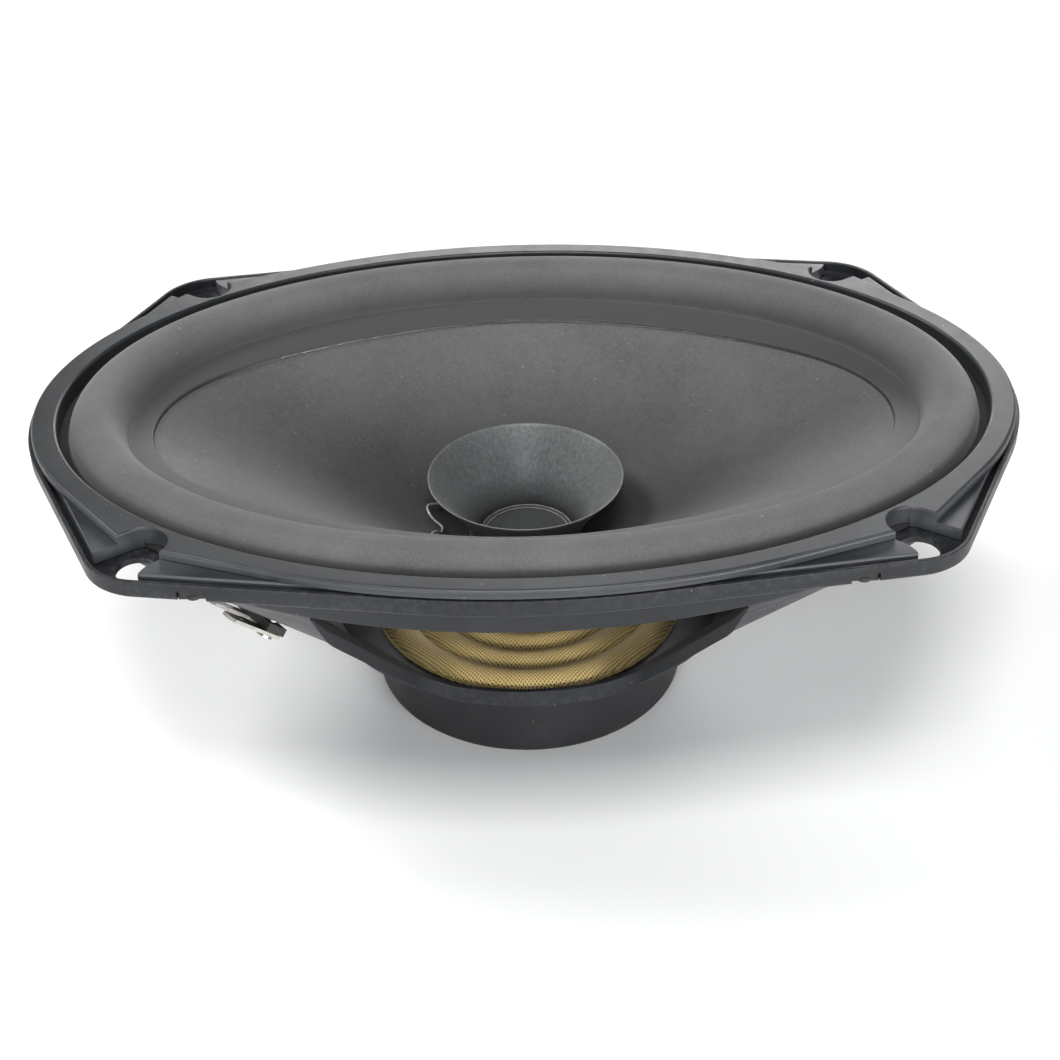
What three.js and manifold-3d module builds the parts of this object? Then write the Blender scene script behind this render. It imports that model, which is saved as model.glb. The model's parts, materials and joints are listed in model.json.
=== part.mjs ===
// A 6 x 9 inch oval car loudspeaker: stamped basket, moulded trim ring, paper cone with a whizzer
// cone, cloth spider, voice coil and a magnet in a soft boot. Millimetres, +Z up, long axis on X.
// The origin is the middle of the flat bottom of the magnet boot, and the cone faces +Z.
import * as THREE from 'three';
import { mergeVertices } from 'three/addons/utils/BufferGeometryUtils.js';
import Module from 'manifold-3d';

const wasm = await Module();
wasm.setup();

// ---- Driving dimensions ----------------------------------------------------------------------

const RING_TOP = 80;               // boot bottom to the top face of the trim ring
const GAP = 0.3;                   // clearance left between separate pieces that touch

// Flange of the basket: an oval joined by straight edges to four rounded ears.
const FLANGE_HALF_X = 117.8;
const FLANGE_HALF_Y = 80.2;
const EAR_X = 81.2;
const EAR_Y = 54.8;
const EAR_RADIUS = 15;
const FLANGE_TOP = 74.6;
const FLANGE_BOTTOM = 73.2;
const FLANGE_OPENING = 72.8;       // half-width in Y of the opening for the cone
const RIM_TOP = 77.5;
const RIM_THICKNESS = 1.1;
const SCREW_X = 83.8;
const SCREW_Y = 61.3;
const SCREW_HOLE_RADIUS = 4.5;

// Every oval of the speaker is this much longer than it is wide, on each side.
const OVAL = 36;

// Basket wall: ruled from the oval skirt down to the small oval lip over the magnet.
const SKIRT_TOP = { r: 75.8, z: FLANGE_BOTTOM, stretch: 35.7 };
const WALL_TOP = { r: 74.5, z: 65, stretch: 35.1 };
const WALL_BOTTOM = { r: 41.4, z: 21.3, stretch: 10 };
const LIP_BOTTOM = { r: 40.4, z: 16.7, stretch: 10 };
const FLOOR_THICKNESS = 1.5;
const FLOOR_TOP = LIP_BOTTOM.z + FLOOR_THICKNESS;
const WALL_THICKNESS_Y = 1.7;      // measured along Y, so about 1.4 through the sloping wall
const SPIDER_SEAT_INNER = 36.5;
const SPIDER_SEAT_Z = 19.5;
const FLOOR_OPENING_RADIUS = 25.5;  // leaves the spider room to move down past the floor

// Windows in the front and back walls, wide at the top and narrow at the bottom.
const WINDOW_TOP_HALF = 47;
const WINDOW_BOTTOM_HALF = 22.5;
const WINDOW_TOP_Z = 65.4;
const WINDOW_CORNER = 8;
const RAIL_HEIGHT = 3.9;

// Trim ring.
const RING_BOTTOM = FLANGE_TOP + GAP;
const WEB_TOP = 77.8;
const BAND_HALF_X = 116.8;
const BAND_HALF_Y = 80;
const BAND_TIP_X = 84.2;
const BAND_TIP_Y = 57.2;
const BAND_TIP_RADIUS = 2.5;
const BAND_BEVEL = 0.6;
const WEB_INSET = 2.4;
const RING_OPENING = 74.8;
const NOTCH_X = 82.3;
const NOTCH_Y = 58.6;
const NOTCH_RADIUS = 5.4;
const PEG_X = 70.7;
const PEG_Y = 68.6;
const PEG_RADIUS = 1.5;
const PEG_SLOT_WIDTH = 6.2;

// Surround: outer flange, one tall half roll and a flat inner lip.
const SURROUND_THICKNESS = 0.6;
const SURROUND_OUTER = 77.6;
const ROLL_OUTER = 72.2;
const ROLL_INNER = 59.3;
const ROLL_HEIGHT = 7.6;
const ROLL_INNER_Z = 73.3;
const LIP_INNER = 50.3;
const LIP_INNER_Z = 72.5;
const LIP_STRETCH = 39.2;          // the lip is narrower at the ends of the oval than at its sides
const LIP_PINCH = 0.062;

// Cone, whizzer and dust cap.
const CONE_THICKNESS = 0.8;
const NECK_RADIUS = 13.2;
const NECK_Z = 37;
const CONE_EDGE_RADIUS = 58.4;
const CONE_FLARE = 0.88;           // below 1 the cone is steeper at its neck
const WHIZZER_THROAT = 12.9;
const WHIZZER_RIM = 24;
const WHIZZER_BOTTOM_Z = 38.3;
const WHIZZER_RIM_Z = 56.3;
const DUST_CAP_RADIUS = 11.4;
const DUST_CAP_Z = 40;

// Voice coil and spider.
const FORMER_INNER = 12.05;
const FORMER_OUTER = 12.35;
const FORMER_TOP = 37.9;
const COIL_BOTTOM = 10.9;
const COIL_HEIGHT = 8;
const COIL_OUTER = 12.95;
const SPIDER_THICKNESS = 0.4;
const SPIDER_Z = SPIDER_SEAT_Z + GAP + SPIDER_THICKNESS / 2;
const SPIDER_OUTER = 39.4;
const SPIDER_ROLL_OUTER = 38.8;
const SPIDER_PITCH = 7.15;
const SPIDER_ROLLS = 3;
const SPIDER_ROLL_HEIGHT = 2.4;

// Magnet system, from the boot upwards.
const BOOT_RADIUS = 39.2;
const BOOT_WALL = 1.2;
const BOOT_FLOOR = 0.8;
const BACK_PLATE = { radius: 36.5, bottom: 1.1, top: 4.1 };
const MAGNET = { outer: 37.3, inner: 17, bottom: 4.4, top: 13.1 };
const TOP_PLATE = { outer: 36.8, inner: 13.4, bottom: 13.4, top: 16.4 };
const POLE_RADIUS = 11.6;
const BASKET_RIVET_CIRCLE = 28.2;
const BASKET_RIVET_HEAD = 2;
const RIVET_RADIUS = 1.4;
const RIVET_HOLE_RADIUS = RIVET_RADIUS + GAP;

// Terminal on the front left arm of the basket.
const TERMINAL_ANGLE = -145;
const TERMINAL_ALONG = 0.56;       // how far down the wall, 0 at its top and 1 at its bottom
const TERMINAL_SPACING = 10.8;
const TERMINAL_HOLE_RADIUS = 2.6;  // wide, so the live rivets stay clear of the basket
const TERMINAL_RIVET_RADIUS = 1.2;
const BOARD_BOTTOM = 0.4;          // the flat board's middle stands this far off the curved wall
const BOARD_THICKNESS = 2;
const TAB_THICKNESS = 0.8;

const DEGREE = Math.PI / 180;
const SEGMENTS = 48;               // around the ovals
const ROUND_SEGMENTS = 40;         // around the magnet parts
const SMALL_SEGMENTS = 30;         // around the coil
const RIVET_SEGMENTS = 10;

// ---- Solids ----------------------------------------------------------------------------------

function signedVolume(position, index) {
  const [a, b, c] = [new THREE.Vector3(), new THREE.Vector3(), new THREE.Vector3()];
  let total = 0;
  for (let i = 0; i < index.length; i += 3) {
    a.fromArray(position, 3 * index[i]);
    b.fromArray(position, 3 * index[i + 1]);
    c.fromArray(position, 3 * index[i + 2]);
    total += a.dot(b.cross(c)) / 6;
  }
  return total;
}

// A closed three.js geometry as a solid, with its faces turned outwards.
function solid(geometry) {
  const bare = new THREE.BufferGeometry();
  bare.setAttribute('position', geometry.getAttribute('position'));
  if (geometry.index) bare.setIndex(geometry.index);
  const merged = mergeVertices(bare, 1e-4);
  const position = Float32Array.from(merged.getAttribute('position').array);
  const index = [];
  const all = merged.index.array;
  for (let i = 0; i < all.length; i += 3) {
    const [p, q, r] = [all[i], all[i + 1], all[i + 2]];
    if (p !== q && q !== r && r !== p) index.push(p, q, r);
  }
  if (signedVolume(position, index) < 0) index.reverse();
  return new wasm.Manifold(
    new wasm.Mesh({ numProp: 3, vertProperties: position, triVerts: Uint32Array.from(index) }),
  );
}

function surfaceOf(body) {
  const mesh = body.getMesh();
  const geometry = new THREE.BufferGeometry();
  geometry.setAttribute('position', new THREE.BufferAttribute(Float32Array.from(mesh.vertProperties), 3));
  geometry.setIndex(new THREE.BufferAttribute(Uint32Array.from(mesh.triVerts), 1));
  geometry.computeVertexNormals();
  return geometry;
}

const unite = (first, ...rest) => rest.reduce((sum, body) => sum.add(body), first);
const cut = (first, ...rest) => rest.reduce((left, body) => left.subtract(body), first);

function cylinder(radius, bottom, top, x = 0, y = 0, segments = RIVET_SEGMENTS) {
  const geometry = new THREE.CylinderGeometry(radius, radius, top - bottom, segments);
  geometry.rotateX(Math.PI / 2);
  geometry.translate(x, y, (top + bottom) / 2);
  return solid(geometry);
}

function block(low, high) {
  const size = high.map((value, i) => value - low[i]);
  const geometry = new THREE.BoxGeometry(...size);
  geometry.translate(...low.map((value, i) => value + size[i] / 2));
  return solid(geometry);
}

// A prism from a closed outline of [x, y] points.
function prism(outline, bottom, top) {
  const shape = new THREE.Shape(outline.map(([x, y]) => new THREE.Vector2(x, y)));
  const geometry = new THREE.ExtrudeGeometry(shape, { depth: top - bottom, bevelEnabled: false });
  geometry.translate(0, 0, bottom);
  return solid(geometry);
}

// A profile of { r, z, stretch, pinch } points turned about Z. The stretch lengthens the turn along
// X, so a circle becomes the oval whose half-length is r + stretch, and the pinch draws the oval's
// four flanks in along Y. The profile closes or starts and ends on the axis.
function ovalTurn(profile, segments = SEGMENTS) {
  const points = profile.map(({ r, z }) => new THREE.Vector2(r, z));
  const geometry = new THREE.LatheGeometry(points, segments);
  const position = geometry.getAttribute('position');
  for (let i = 0; i < position.count; i += 1) {
    const turn = (Math.floor(i / profile.length) / segments) * 2 * Math.PI;
    const { stretch = 0, pinch = 0 } = profile[i % profile.length];
    position.setX(i, position.getX(i) + stretch * Math.sin(turn));
    position.setZ(i, position.getZ(i) * (1 - pinch * Math.sin(2 * turn) ** 2));
  }
  geometry.rotateX(Math.PI / 2);
  return solid(geometry);
}

const closed = (profile) => [...profile, profile[0]];

// The closed profile of a sheet of even thickness about a line of { r, z, stretch, pinch } points.
function sheet(line, thickness) {
  const side = (sign) => line.map((point, i) => {
    const before = line[Math.max(i - 1, 0)];
    const after = line[Math.min(i + 1, line.length - 1)];
    const along = new THREE.Vector2(after.r - before.r, after.z - before.z).normalize();
    const half = (sign * thickness) / 2;
    return { ...point, r: point.r - along.y * half, z: point.z + along.x * half };
  });
  return closed([...side(1), ...side(-1).reverse()]);
}

function washer(outer, inner, bottom, top, segments = ROUND_SEGMENTS) {
  const profile = [{ r: inner, z: bottom }, { r: outer, z: bottom }, { r: outer, z: top }, { r: inner, z: top }];
  return ovalTurn(closed(profile), segments);
}

// The outline wrapped tightly round an oval and four round corners, moved inwards by inset.
function wrappedOutline(halfX, halfY, cornerX, cornerY, cornerRadius, inset = 0, count = 72) {
  const outline = [];
  for (let i = 0; i < count; i += 1) {
    const turn = ((i + 0.5) / count) * 2 * Math.PI;
    const normal = [Math.cos(turn), Math.sin(turn)];
    const reach = Math.hypot(halfX * normal[0], halfY * normal[1]);
    const corner = [cornerX * Math.sign(normal[0]), cornerY * Math.sign(normal[1])];
    const cornerReach = corner[0] * normal[0] + corner[1] * normal[1] + cornerRadius;
    const point = reach > cornerReach
      ? [(halfX ** 2 * normal[0]) / reach, (halfY ** 2 * normal[1]) / reach]
      : corner.map((value, axis) => value + cornerRadius * normal[axis]);
    outline.push(point.map((value, axis) => value - inset * normal[axis]));
  }
  return outline;
}

const flangeOutline = (inset) =>
  wrappedOutline(FLANGE_HALF_X, FLANGE_HALF_Y, EAR_X, EAR_Y, EAR_RADIUS, inset);

// The same body in all four quadrants, from the one where X and Y are positive.
function fourTimes(makeGeometry) {
  const copies = [];
  for (const signX of [1, -1]) {
    for (const signY of [1, -1]) copies.push(solid(makeGeometry().scale(signX, signY, 1)));
  }
  return copies;
}

// ---- The tree --------------------------------------------------------------------------------

const speaker = new THREE.Group();
speaker.name = 'oval_car_speaker';

function addPiece(name, body, material, parent = speaker) {
  const mesh = new THREE.Mesh(surfaceOf(body), material);
  mesh.name = name;
  parent.add(mesh);
}

const finish = (color, roughness, metalness) =>
  new THREE.MeshStandardMaterial({ color, roughness, metalness });

const material = {
  paintedSteel: finish(0x55585c, 0.45, 0.3),
  trimPlastic: finish(0x5a5d61, 0.5, 0),
  foam: finish(0x6e6f70, 0.9, 0),
  paper: finish(0x515354, 0.85, 0),
  whizzerPaper: finish(0x565759, 0.8, 0),
  capPaper: finish(0x3f4143, 0.85, 0),
  polyimide: finish(0x8a5a24, 0.4, 0),
  copper: finish(0xb06a3a, 0.35, 0.9),
  cloth: finish(0xaa8c50, 0.9, 0),
  bootRubber: finish(0x323235, 0.6, 0),
  ferrite: finish(0x2c2c2e, 0.7, 0.1),
  zincSteel: finish(0xa9acae, 0.35, 0.9),
  brass: finish(0xb9a064, 0.35, 0.9),
  phenolic: finish(0x2b2723, 0.6, 0),
  braid: finish(0xb9b3a6, 0.45, 0.7),
};

// ---- Basket ----------------------------------------------------------------------------------

// A point on the outside of the basket wall: along is 0 at its top and 1 at the lip, angle is the
// oval's own angle in degrees, and off is how far the point stands off the wall.
function wallPoint(angle, along, off = 0) {
  const at = (turn, share) => {
    const mix = (key) => WALL_TOP[key] + (WALL_BOTTOM[key] - WALL_TOP[key]) * share;
    return new THREE.Vector3(
      (mix('r') + mix('stretch')) * Math.cos(turn * DEGREE),
      mix('r') * Math.sin(turn * DEGREE),
      mix('z'),
    );
  };
  const point = at(angle, along);
  const around = at(angle + 0.1, along).sub(at(angle - 0.1, along));
  const down = at(angle, along + 0.001).sub(at(angle, along - 0.001));
  const normal = around.cross(down).normalize();
  if (normal.x * point.x + normal.y * point.y < 0) normal.negate();
  return { point: point.addScaledVector(normal, off), down: down.normalize(), normal };
}

function windowPrism() {
  const shape = new THREE.Shape();
  const slope = (WINDOW_TOP_HALF - WINDOW_BOTTOM_HALF) / (WINDOW_TOP_Z - WALL_BOTTOM.z);
  const sideAt = (z) => WINDOW_BOTTOM_HALF + slope * (z - WALL_BOTTOM.z);
  const cornerTop = WALL_BOTTOM.z + WINDOW_CORNER;
  shape.moveTo(-WINDOW_TOP_HALF, WINDOW_TOP_Z);
  shape.lineTo(-sideAt(cornerTop), cornerTop);
  shape.quadraticCurveTo(-WINDOW_BOTTOM_HALF, WALL_BOTTOM.z, WINDOW_CORNER - WINDOW_BOTTOM_HALF, WALL_BOTTOM.z);
  shape.lineTo(WINDOW_BOTTOM_HALF - WINDOW_CORNER, WALL_BOTTOM.z);
  shape.quadraticCurveTo(WINDOW_BOTTOM_HALF, WALL_BOTTOM.z, sideAt(cornerTop), cornerTop);
  shape.lineTo(WINDOW_TOP_HALF, WINDOW_TOP_Z);
  const geometry = new THREE.ExtrudeGeometry(shape, { depth: 90, bevelEnabled: false, curveSegments: 4 });
  geometry.rotateX(Math.PI / 2);
  return geometry;
}

// The upright flange along one side of a window, from the skirt down to the lip: a straight box
// whose corners are moved onto the wall. Its outer face is upright and its inner face is sunk in
// the sloping wall.
function windowRail() {
  const steps = 6;
  const sunk = 0.9;
  const proud = 0.9;
  const geometry = new THREE.BoxGeometry(1, 1, 1, steps, 1, 1);
  const position = geometry.getAttribute('position');
  const slope = (WALL_TOP.r - WALL_BOTTOM.r) / (WALL_TOP.z - WALL_BOTTOM.z);
  for (let i = 0; i < position.count; i += 1) {
    const down = position.getX(i) + 0.5;
    const share = 1 - down;
    const z = WALL_BOTTOM.z + (WALL_TOP.z - WALL_BOTTOM.z) * share;
    const x = WINDOW_BOTTOM_HALF + (WINDOW_TOP_HALF - WINDOW_BOTTOM_HALF) * share;
    const r = WALL_BOTTOM.r + (WALL_TOP.r - WALL_BOTTOM.r) * share;
    const halfX = r + WALL_BOTTOM.stretch + (WALL_TOP.stretch - WALL_BOTTOM.stretch) * share;
    const y = r * Math.sqrt(1 - (x / halfX) ** 2);
    const normal = new THREE.Vector2(x / halfX ** 2, y / r ** 2).normalize();
    const lower = position.getZ(i) < 0;
    const inner = -sunk - (lower ? RAIL_HEIGHT * slope : 0);
    const off = position.getY(i) > 0 ? proud * share : inner;
    position.setXYZ(i, x + normal.x * off, y + normal.y * off, z - (lower ? RAIL_HEIGHT : 0));
  }
  return geometry;
}

function terminalFrame() {
  const { point, down, normal } = wallPoint(TERMINAL_ANGLE, TERMINAL_ALONG);
  const across = new THREE.Vector3().crossVectors(normal, down).normalize();
  const matrix = new THREE.Matrix4().makeBasis(down, across, normal);
  return matrix.setPosition(point);
}

function makeBasket() {
  const lipInner = WALL_BOTTOM.r - WALL_THICKNESS_Y;
  const wall = ovalTurn(closed([
    { ...SKIRT_TOP, z: FLANGE_TOP - 0.4 },
    SKIRT_TOP,
    WALL_TOP,
    WALL_BOTTOM,
    LIP_BOTTOM,
    { r: FLOOR_OPENING_RADIUS, z: LIP_BOTTOM.z },
    { r: FLOOR_OPENING_RADIUS, z: FLOOR_TOP },
    { r: SPIDER_SEAT_INNER - 0.5, z: FLOOR_TOP },
    { r: SPIDER_SEAT_INNER, z: SPIDER_SEAT_Z },
    { r: lipInner, z: SPIDER_SEAT_Z },
    { r: lipInner, z: WALL_BOTTOM.z },
    { ...WALL_BOTTOM, r: lipInner },
    { ...WALL_TOP, r: WALL_TOP.r - WALL_THICKNESS_Y },
    { ...SKIRT_TOP, r: SKIRT_TOP.r - WALL_THICKNESS_Y },
    { ...SKIRT_TOP, r: SKIRT_TOP.r - WALL_THICKNESS_Y, z: FLANGE_TOP - 0.4 },
  ]));
  const opening = ovalTurn([
    { r: 0, z: FLANGE_BOTTOM - 1 },
    { r: FLANGE_OPENING, z: FLANGE_BOTTOM - 1, stretch: OVAL },
    { r: FLANGE_OPENING, z: RIM_TOP, stretch: OVAL },
    { r: 0, z: RIM_TOP },
  ]);
  const plate = cut(prism(flangeOutline(0), FLANGE_BOTTOM, FLANGE_TOP), opening);
  const rim = cut(
    prism(flangeOutline(0), FLANGE_BOTTOM, RIM_TOP),
    prism(flangeOutline(RIM_THICKNESS), FLANGE_BOTTOM - 1, RIM_TOP + 1),
  );
  const front = solid(windowPrism());
  const back = solid(windowPrism().rotateZ(Math.PI));
  const shell = cut(wall, front, back);
  const holes = fourTimes(() => {
    const hole = new THREE.CylinderGeometry(SCREW_HOLE_RADIUS, SCREW_HOLE_RADIUS, 6, 16);
    return hole.rotateX(Math.PI / 2).translate(SCREW_X, SCREW_Y, FLANGE_TOP);
  });
  const slots = fourTimes(() => {
    const slot = new THREE.BoxGeometry(PEG_SLOT_WIDTH, 12, 3);
    return slot.translate(PEG_X, PEG_Y + 3.8, FLANGE_BOTTOM + 0.9);
  });
  const rivetHoles = rivetPlaces().map(([x, y]) =>
    cylinder(RIVET_HOLE_RADIUS, LIP_BOTTOM.z - 1, FLOOR_TOP + 1, x, y));
  const terminalHoles = [-1, 0, 1].map((side) => {
    const radius = side === 0 ? RIVET_HOLE_RADIUS : TERMINAL_HOLE_RADIUS;
    const hole = new THREE.CylinderGeometry(radius, radius, 8, RIVET_SEGMENTS).rotateX(Math.PI / 2);
    return solid(hole.translate(0, (side * TERMINAL_SPACING) / 2, 0).applyMatrix4(terminalFrame()));
  });
  return cut(
    unite(shell, plate, rim, ...fourTimes(windowRail)),
    ...holes, ...slots, ...rivetHoles, ...terminalHoles,
  );
}

function rivetPlaces() {
  return [45, 135, 225, 315].map((angle) => [
    BASKET_RIVET_CIRCLE * Math.cos(angle * DEGREE),
    BASKET_RIVET_CIRCLE * Math.sin(angle * DEGREE),
  ]);
}

// ---- Trim ring -------------------------------------------------------------------------------

// The well round a screw hole: a round notch that opens and widens towards the corner of the ear.
function screwWell() {
  const shape = new THREE.Shape();
  const startAngle = 129 * DEGREE;
  const endAngle = 330 * DEGREE;
  shape.absarc(NOTCH_X, NOTCH_Y, NOTCH_RADIUS, startAngle, endAngle, false);
  shape.quadraticCurveTo(87.6, 55.2, 89.2, 56.1);
  shape.lineTo(112, 71.4);
  shape.lineTo(112, 92);
  shape.lineTo(82.3, 92);
  shape.lineTo(82.3, 69);
  shape.quadraticCurveTo(82.3, 65.4, 78.9, 62.8);
  const geometry = new THREE.ExtrudeGeometry(shape, { depth: 8, bevelEnabled: false, curveSegments: 8 });
  return geometry.translate(0, 0, RING_BOTTOM - 1);
}

function makeTrimRing() {
  const outline = wrappedOutline(BAND_HALF_X, BAND_HALF_Y, BAND_TIP_X, BAND_TIP_Y, BAND_TIP_RADIUS, BAND_BEVEL);
  const bandShape = new THREE.Shape(outline.map(([x, y]) => new THREE.Vector2(x, y)));
  const bandBottom = WEB_TOP - 2;
  const bandGeometry = new THREE.ExtrudeGeometry(bandShape, {
    depth: RING_TOP - bandBottom - 2 * BAND_BEVEL,
    bevelEnabled: true,
    bevelSize: BAND_BEVEL,
    bevelThickness: BAND_BEVEL,
    bevelSegments: 1,
  });
  const band = solid(bandGeometry.translate(0, 0, bandBottom + BAND_BEVEL));
  const web = prism(flangeOutline(WEB_INSET), RING_BOTTOM, WEB_TOP);
  const overRim = cut(
    prism(flangeOutline(-3), RING_BOTTOM - 1, WEB_TOP),
    prism(flangeOutline(WEB_INSET), RING_BOTTOM - 2, WEB_TOP + 1),
  );
  const chamfer = 0.8;
  const opening = ovalTurn([
    { r: 0, z: RING_BOTTOM - 1 },
    { r: RING_OPENING, z: RING_BOTTOM - 1, stretch: OVAL },
    { r: RING_OPENING, z: RING_TOP - chamfer, stretch: OVAL },
    { r: RING_OPENING + 2 * chamfer, z: RING_TOP + chamfer, stretch: OVAL },
    { r: 0, z: RING_TOP + chamfer },
  ]);
  const rebateTop = RING_BOTTOM + SURROUND_THICKNESS + GAP;
  const rebate = ovalTurn([
    { r: 0, z: RING_BOTTOM - 1 },
    { r: SURROUND_OUTER + GAP, z: RING_BOTTOM - 1, stretch: OVAL },
    { r: SURROUND_OUTER + GAP, z: rebateTop, stretch: OVAL },
    { r: 0, z: rebateTop },
  ]);
  const ring = cut(unite(band, web), overRim, opening, rebate, ...fourTimes(screwWell));
  const pegs = fourTimes(() => {
    const headBottom = FLANGE_BOTTOM - 0.9;
    const profile = [
      [0, headBottom], [1.4, headBottom + 0.15], [2, headBottom + 0.8], [1.9, headBottom + 1.3],
      [PEG_RADIUS, headBottom + 1.6], [PEG_RADIUS, WEB_TOP - 1], [0, WEB_TOP - 1],
    ];
    const peg = new THREE.LatheGeometry(profile.map(([r, z]) => new THREE.Vector2(r, z)), RIVET_SEGMENTS);
    return peg.rotateX(Math.PI / 2).translate(PEG_X, PEG_Y, 0);
  });
  return unite(ring, ...pegs);
}

// ---- Cone, surround and spider ---------------------------------------------------------------

function coneHeight(share) {
  const edge = LIP_INNER_Z - SURROUND_THICKNESS / 2 - GAP - CONE_THICKNESS / 2;
  return NECK_Z + (edge - NECK_Z) * share ** CONE_FLARE;
}

const coneLinePoint = (share) => ({
  r: NECK_RADIUS + (LIP_INNER - NECK_RADIUS) * share,
  z: coneHeight(share),
  stretch: LIP_STRETCH * share,
  pinch: LIP_PINCH * share,
});

// A frame on the middle of the cone's paper, with its Z standing up off the paper.
function coneFrame(share, angle) {
  const at = (where, turn) => {
    const { r, z, stretch, pinch } = coneLinePoint(where);
    const halfY = r * (1 - pinch * Math.sin(2 * turn * DEGREE) ** 2);
    return new THREE.Vector3((r + stretch) * Math.cos(turn * DEGREE), halfY * Math.sin(turn * DEGREE), z);
  };
  const outward = at(share + 0.001, angle).sub(at(share - 0.001, angle)).normalize();
  const around = at(share, angle + 0.1).sub(at(share, angle - 0.1));
  const normal = new THREE.Vector3().crossVectors(outward, around).normalize();
  const across = new THREE.Vector3().crossVectors(normal, outward);
  return new THREE.Matrix4().makeBasis(outward, across, normal).setPosition(at(share, angle));
}

const offCone = (share, angle, off) => new THREE.Vector3(0, 0, off).applyMatrix4(coneFrame(share, angle));

function makeCone() {
  const line = [0, 0.08, 0.2, 0.4, 0.68, 1].map(coneLinePoint);
  const alongLip = (CONE_EDGE_RADIUS - LIP_INNER) / (ROLL_INNER - LIP_INNER);
  line.push({
    r: CONE_EDGE_RADIUS,
    z: coneHeight(1) + (ROLL_INNER_Z - LIP_INNER_Z) * alongLip,
    stretch: LIP_STRETCH + (OVAL - LIP_STRETCH) * alongLip,
    pinch: LIP_PINCH * (1 - alongLip),
  });
  const eyeletHoles = Object.values(polarities).map(({ coneShare, coneAngle }) => {
    const hole = new THREE.CylinderGeometry(1.5, 1.5, 4, RIVET_SEGMENTS).rotateX(Math.PI / 2);
    return solid(hole.applyMatrix4(coneFrame(coneShare, coneAngle)));
  });
  return cut(ovalTurn(sheet(line, CONE_THICKNESS)), ...eyeletHoles);
}

function makeSurround() {
  const line = [{ r: SURROUND_OUTER, z: RING_BOTTOM + SURROUND_THICKNESS / 2, stretch: OVAL }];
  const rollSteps = 7;
  const middle = (ROLL_OUTER + ROLL_INNER) / 2;
  const half = (ROLL_OUTER - ROLL_INNER) / 2;
  for (let i = 0; i <= rollSteps; i += 1) {
    const turn = (i / rollSteps) * Math.PI;
    const base = line[0].z + (ROLL_INNER_Z - line[0].z) * (i / rollSteps);
    line.push({ r: middle + half * Math.cos(turn), z: base + ROLL_HEIGHT * Math.sin(turn), stretch: OVAL });
  }
  line.push({ r: LIP_INNER, z: LIP_INNER_Z, stretch: LIP_STRETCH, pinch: LIP_PINCH });
  return ovalTurn(sheet(line, SURROUND_THICKNESS));
}

function makeSpider() {
  const line = [{ r: SPIDER_OUTER, z: SPIDER_Z }];
  const stepsPerRoll = 3;
  for (let i = 0; i <= SPIDER_ROLLS * stepsPerRoll; i += 1) {
    const turn = (i / stepsPerRoll) * Math.PI;
    const lift = SPIDER_ROLL_HEIGHT * Math.abs(Math.sin(turn)) ** 0.8;
    line.push({ r: SPIDER_ROLL_OUTER - (SPIDER_PITCH * i) / stepsPerRoll, z: SPIDER_Z + lift });
  }
  line.push({ r: 16.4, z: SPIDER_Z + 1.9 }, { r: 14, z: SPIDER_Z + 1.4 }, { r: 13, z: SPIDER_Z + 2.6 });
  return ovalTurn(sheet(line, SPIDER_THICKNESS), SMALL_SEGMENTS);
}

function makeWhizzer() {
  const line = [0, 0.2, 0.45, 0.7, 1].map((share) => ({
    r: WHIZZER_THROAT + (WHIZZER_RIM - WHIZZER_THROAT) * share ** 1.5,
    z: WHIZZER_BOTTOM_Z + (WHIZZER_RIM_Z - WHIZZER_BOTTOM_Z) * share,
  }));
  return ovalTurn(sheet(line, 0.4), SMALL_SEGMENTS);
}

function makeDustCap() {
  const skirtBottom = FORMER_TOP - 1.5;
  const wall = 0.4;
  const radius = DUST_CAP_RADIUS + wall / 2;
  const profile = [
    [0, DUST_CAP_Z], [6, DUST_CAP_Z - 0.15], [10.3, DUST_CAP_Z - 0.6], [radius - 0.2, DUST_CAP_Z - 1.2],
    [radius, DUST_CAP_Z - 1.8], [radius, skirtBottom], [radius - wall, skirtBottom],
    [radius - wall, DUST_CAP_Z - 1.9], [10, DUST_CAP_Z - 1.1], [0, DUST_CAP_Z - 0.5],
  ];
  return ovalTurn(profile.map(([r, z]) => ({ r, z })), SMALL_SEGMENTS);
}

// ---- Terminals and leads ---------------------------------------------------------------------

// The two polarities: which side of the terminal they are on, their tab width, and where their
// eyelet sits on the cone, as a share of the way up the cone and an angle round it.
const polarities = {
  positive: { side: 1, tabWidth: 6.3, coneShare: 0.25, coneAngle: -127 },
  negative: { side: -1, tabWidth: 4.8, coneShare: 0.2, coneAngle: -147 },
};

const WIRE_RADIUS = 0.35;
const LEAD_RADIUS = 0.7;
const RIVET_INNER_END = BOARD_BOTTOM - GAP - 0.6;

function tube(points, radius, steps, sides) {
  const circle = new THREE.Shape();
  for (let i = 0; i < sides; i += 1) {
    const turn = (i / sides) * 2 * Math.PI;
    const [x, y] = [radius * Math.cos(turn), radius * Math.sin(turn)];
    if (i === 0) circle.moveTo(x, y);
    else circle.lineTo(x, y);
  }
  const curve = new THREE.CatmullRomCurve3(points);
  return solid(new THREE.ExtrudeGeometry(circle, { steps, extrudePath: curve, bevelEnabled: false }));
}

const EYELET_HALF_HEIGHT = CONE_THICKNESS / 2 + GAP + 0.3;

function makeEyelet(name) {
  const { coneShare, coneAngle } = polarities[name];
  const frame = coneFrame(coneShare, coneAngle);
  const flange = (middle) => cylinder(1.9, middle - 0.15, middle + 0.15);
  const eyelet = unite(
    cylinder(1.1, -EYELET_HALF_HEIGHT, EYELET_HALF_HEIGHT),
    flange(EYELET_HALF_HEIGHT - 0.15),
    flange(0.15 - EYELET_HALF_HEIGHT),
  );
  return solid(surfaceOf(eyelet).applyMatrix4(frame));
}

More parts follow.
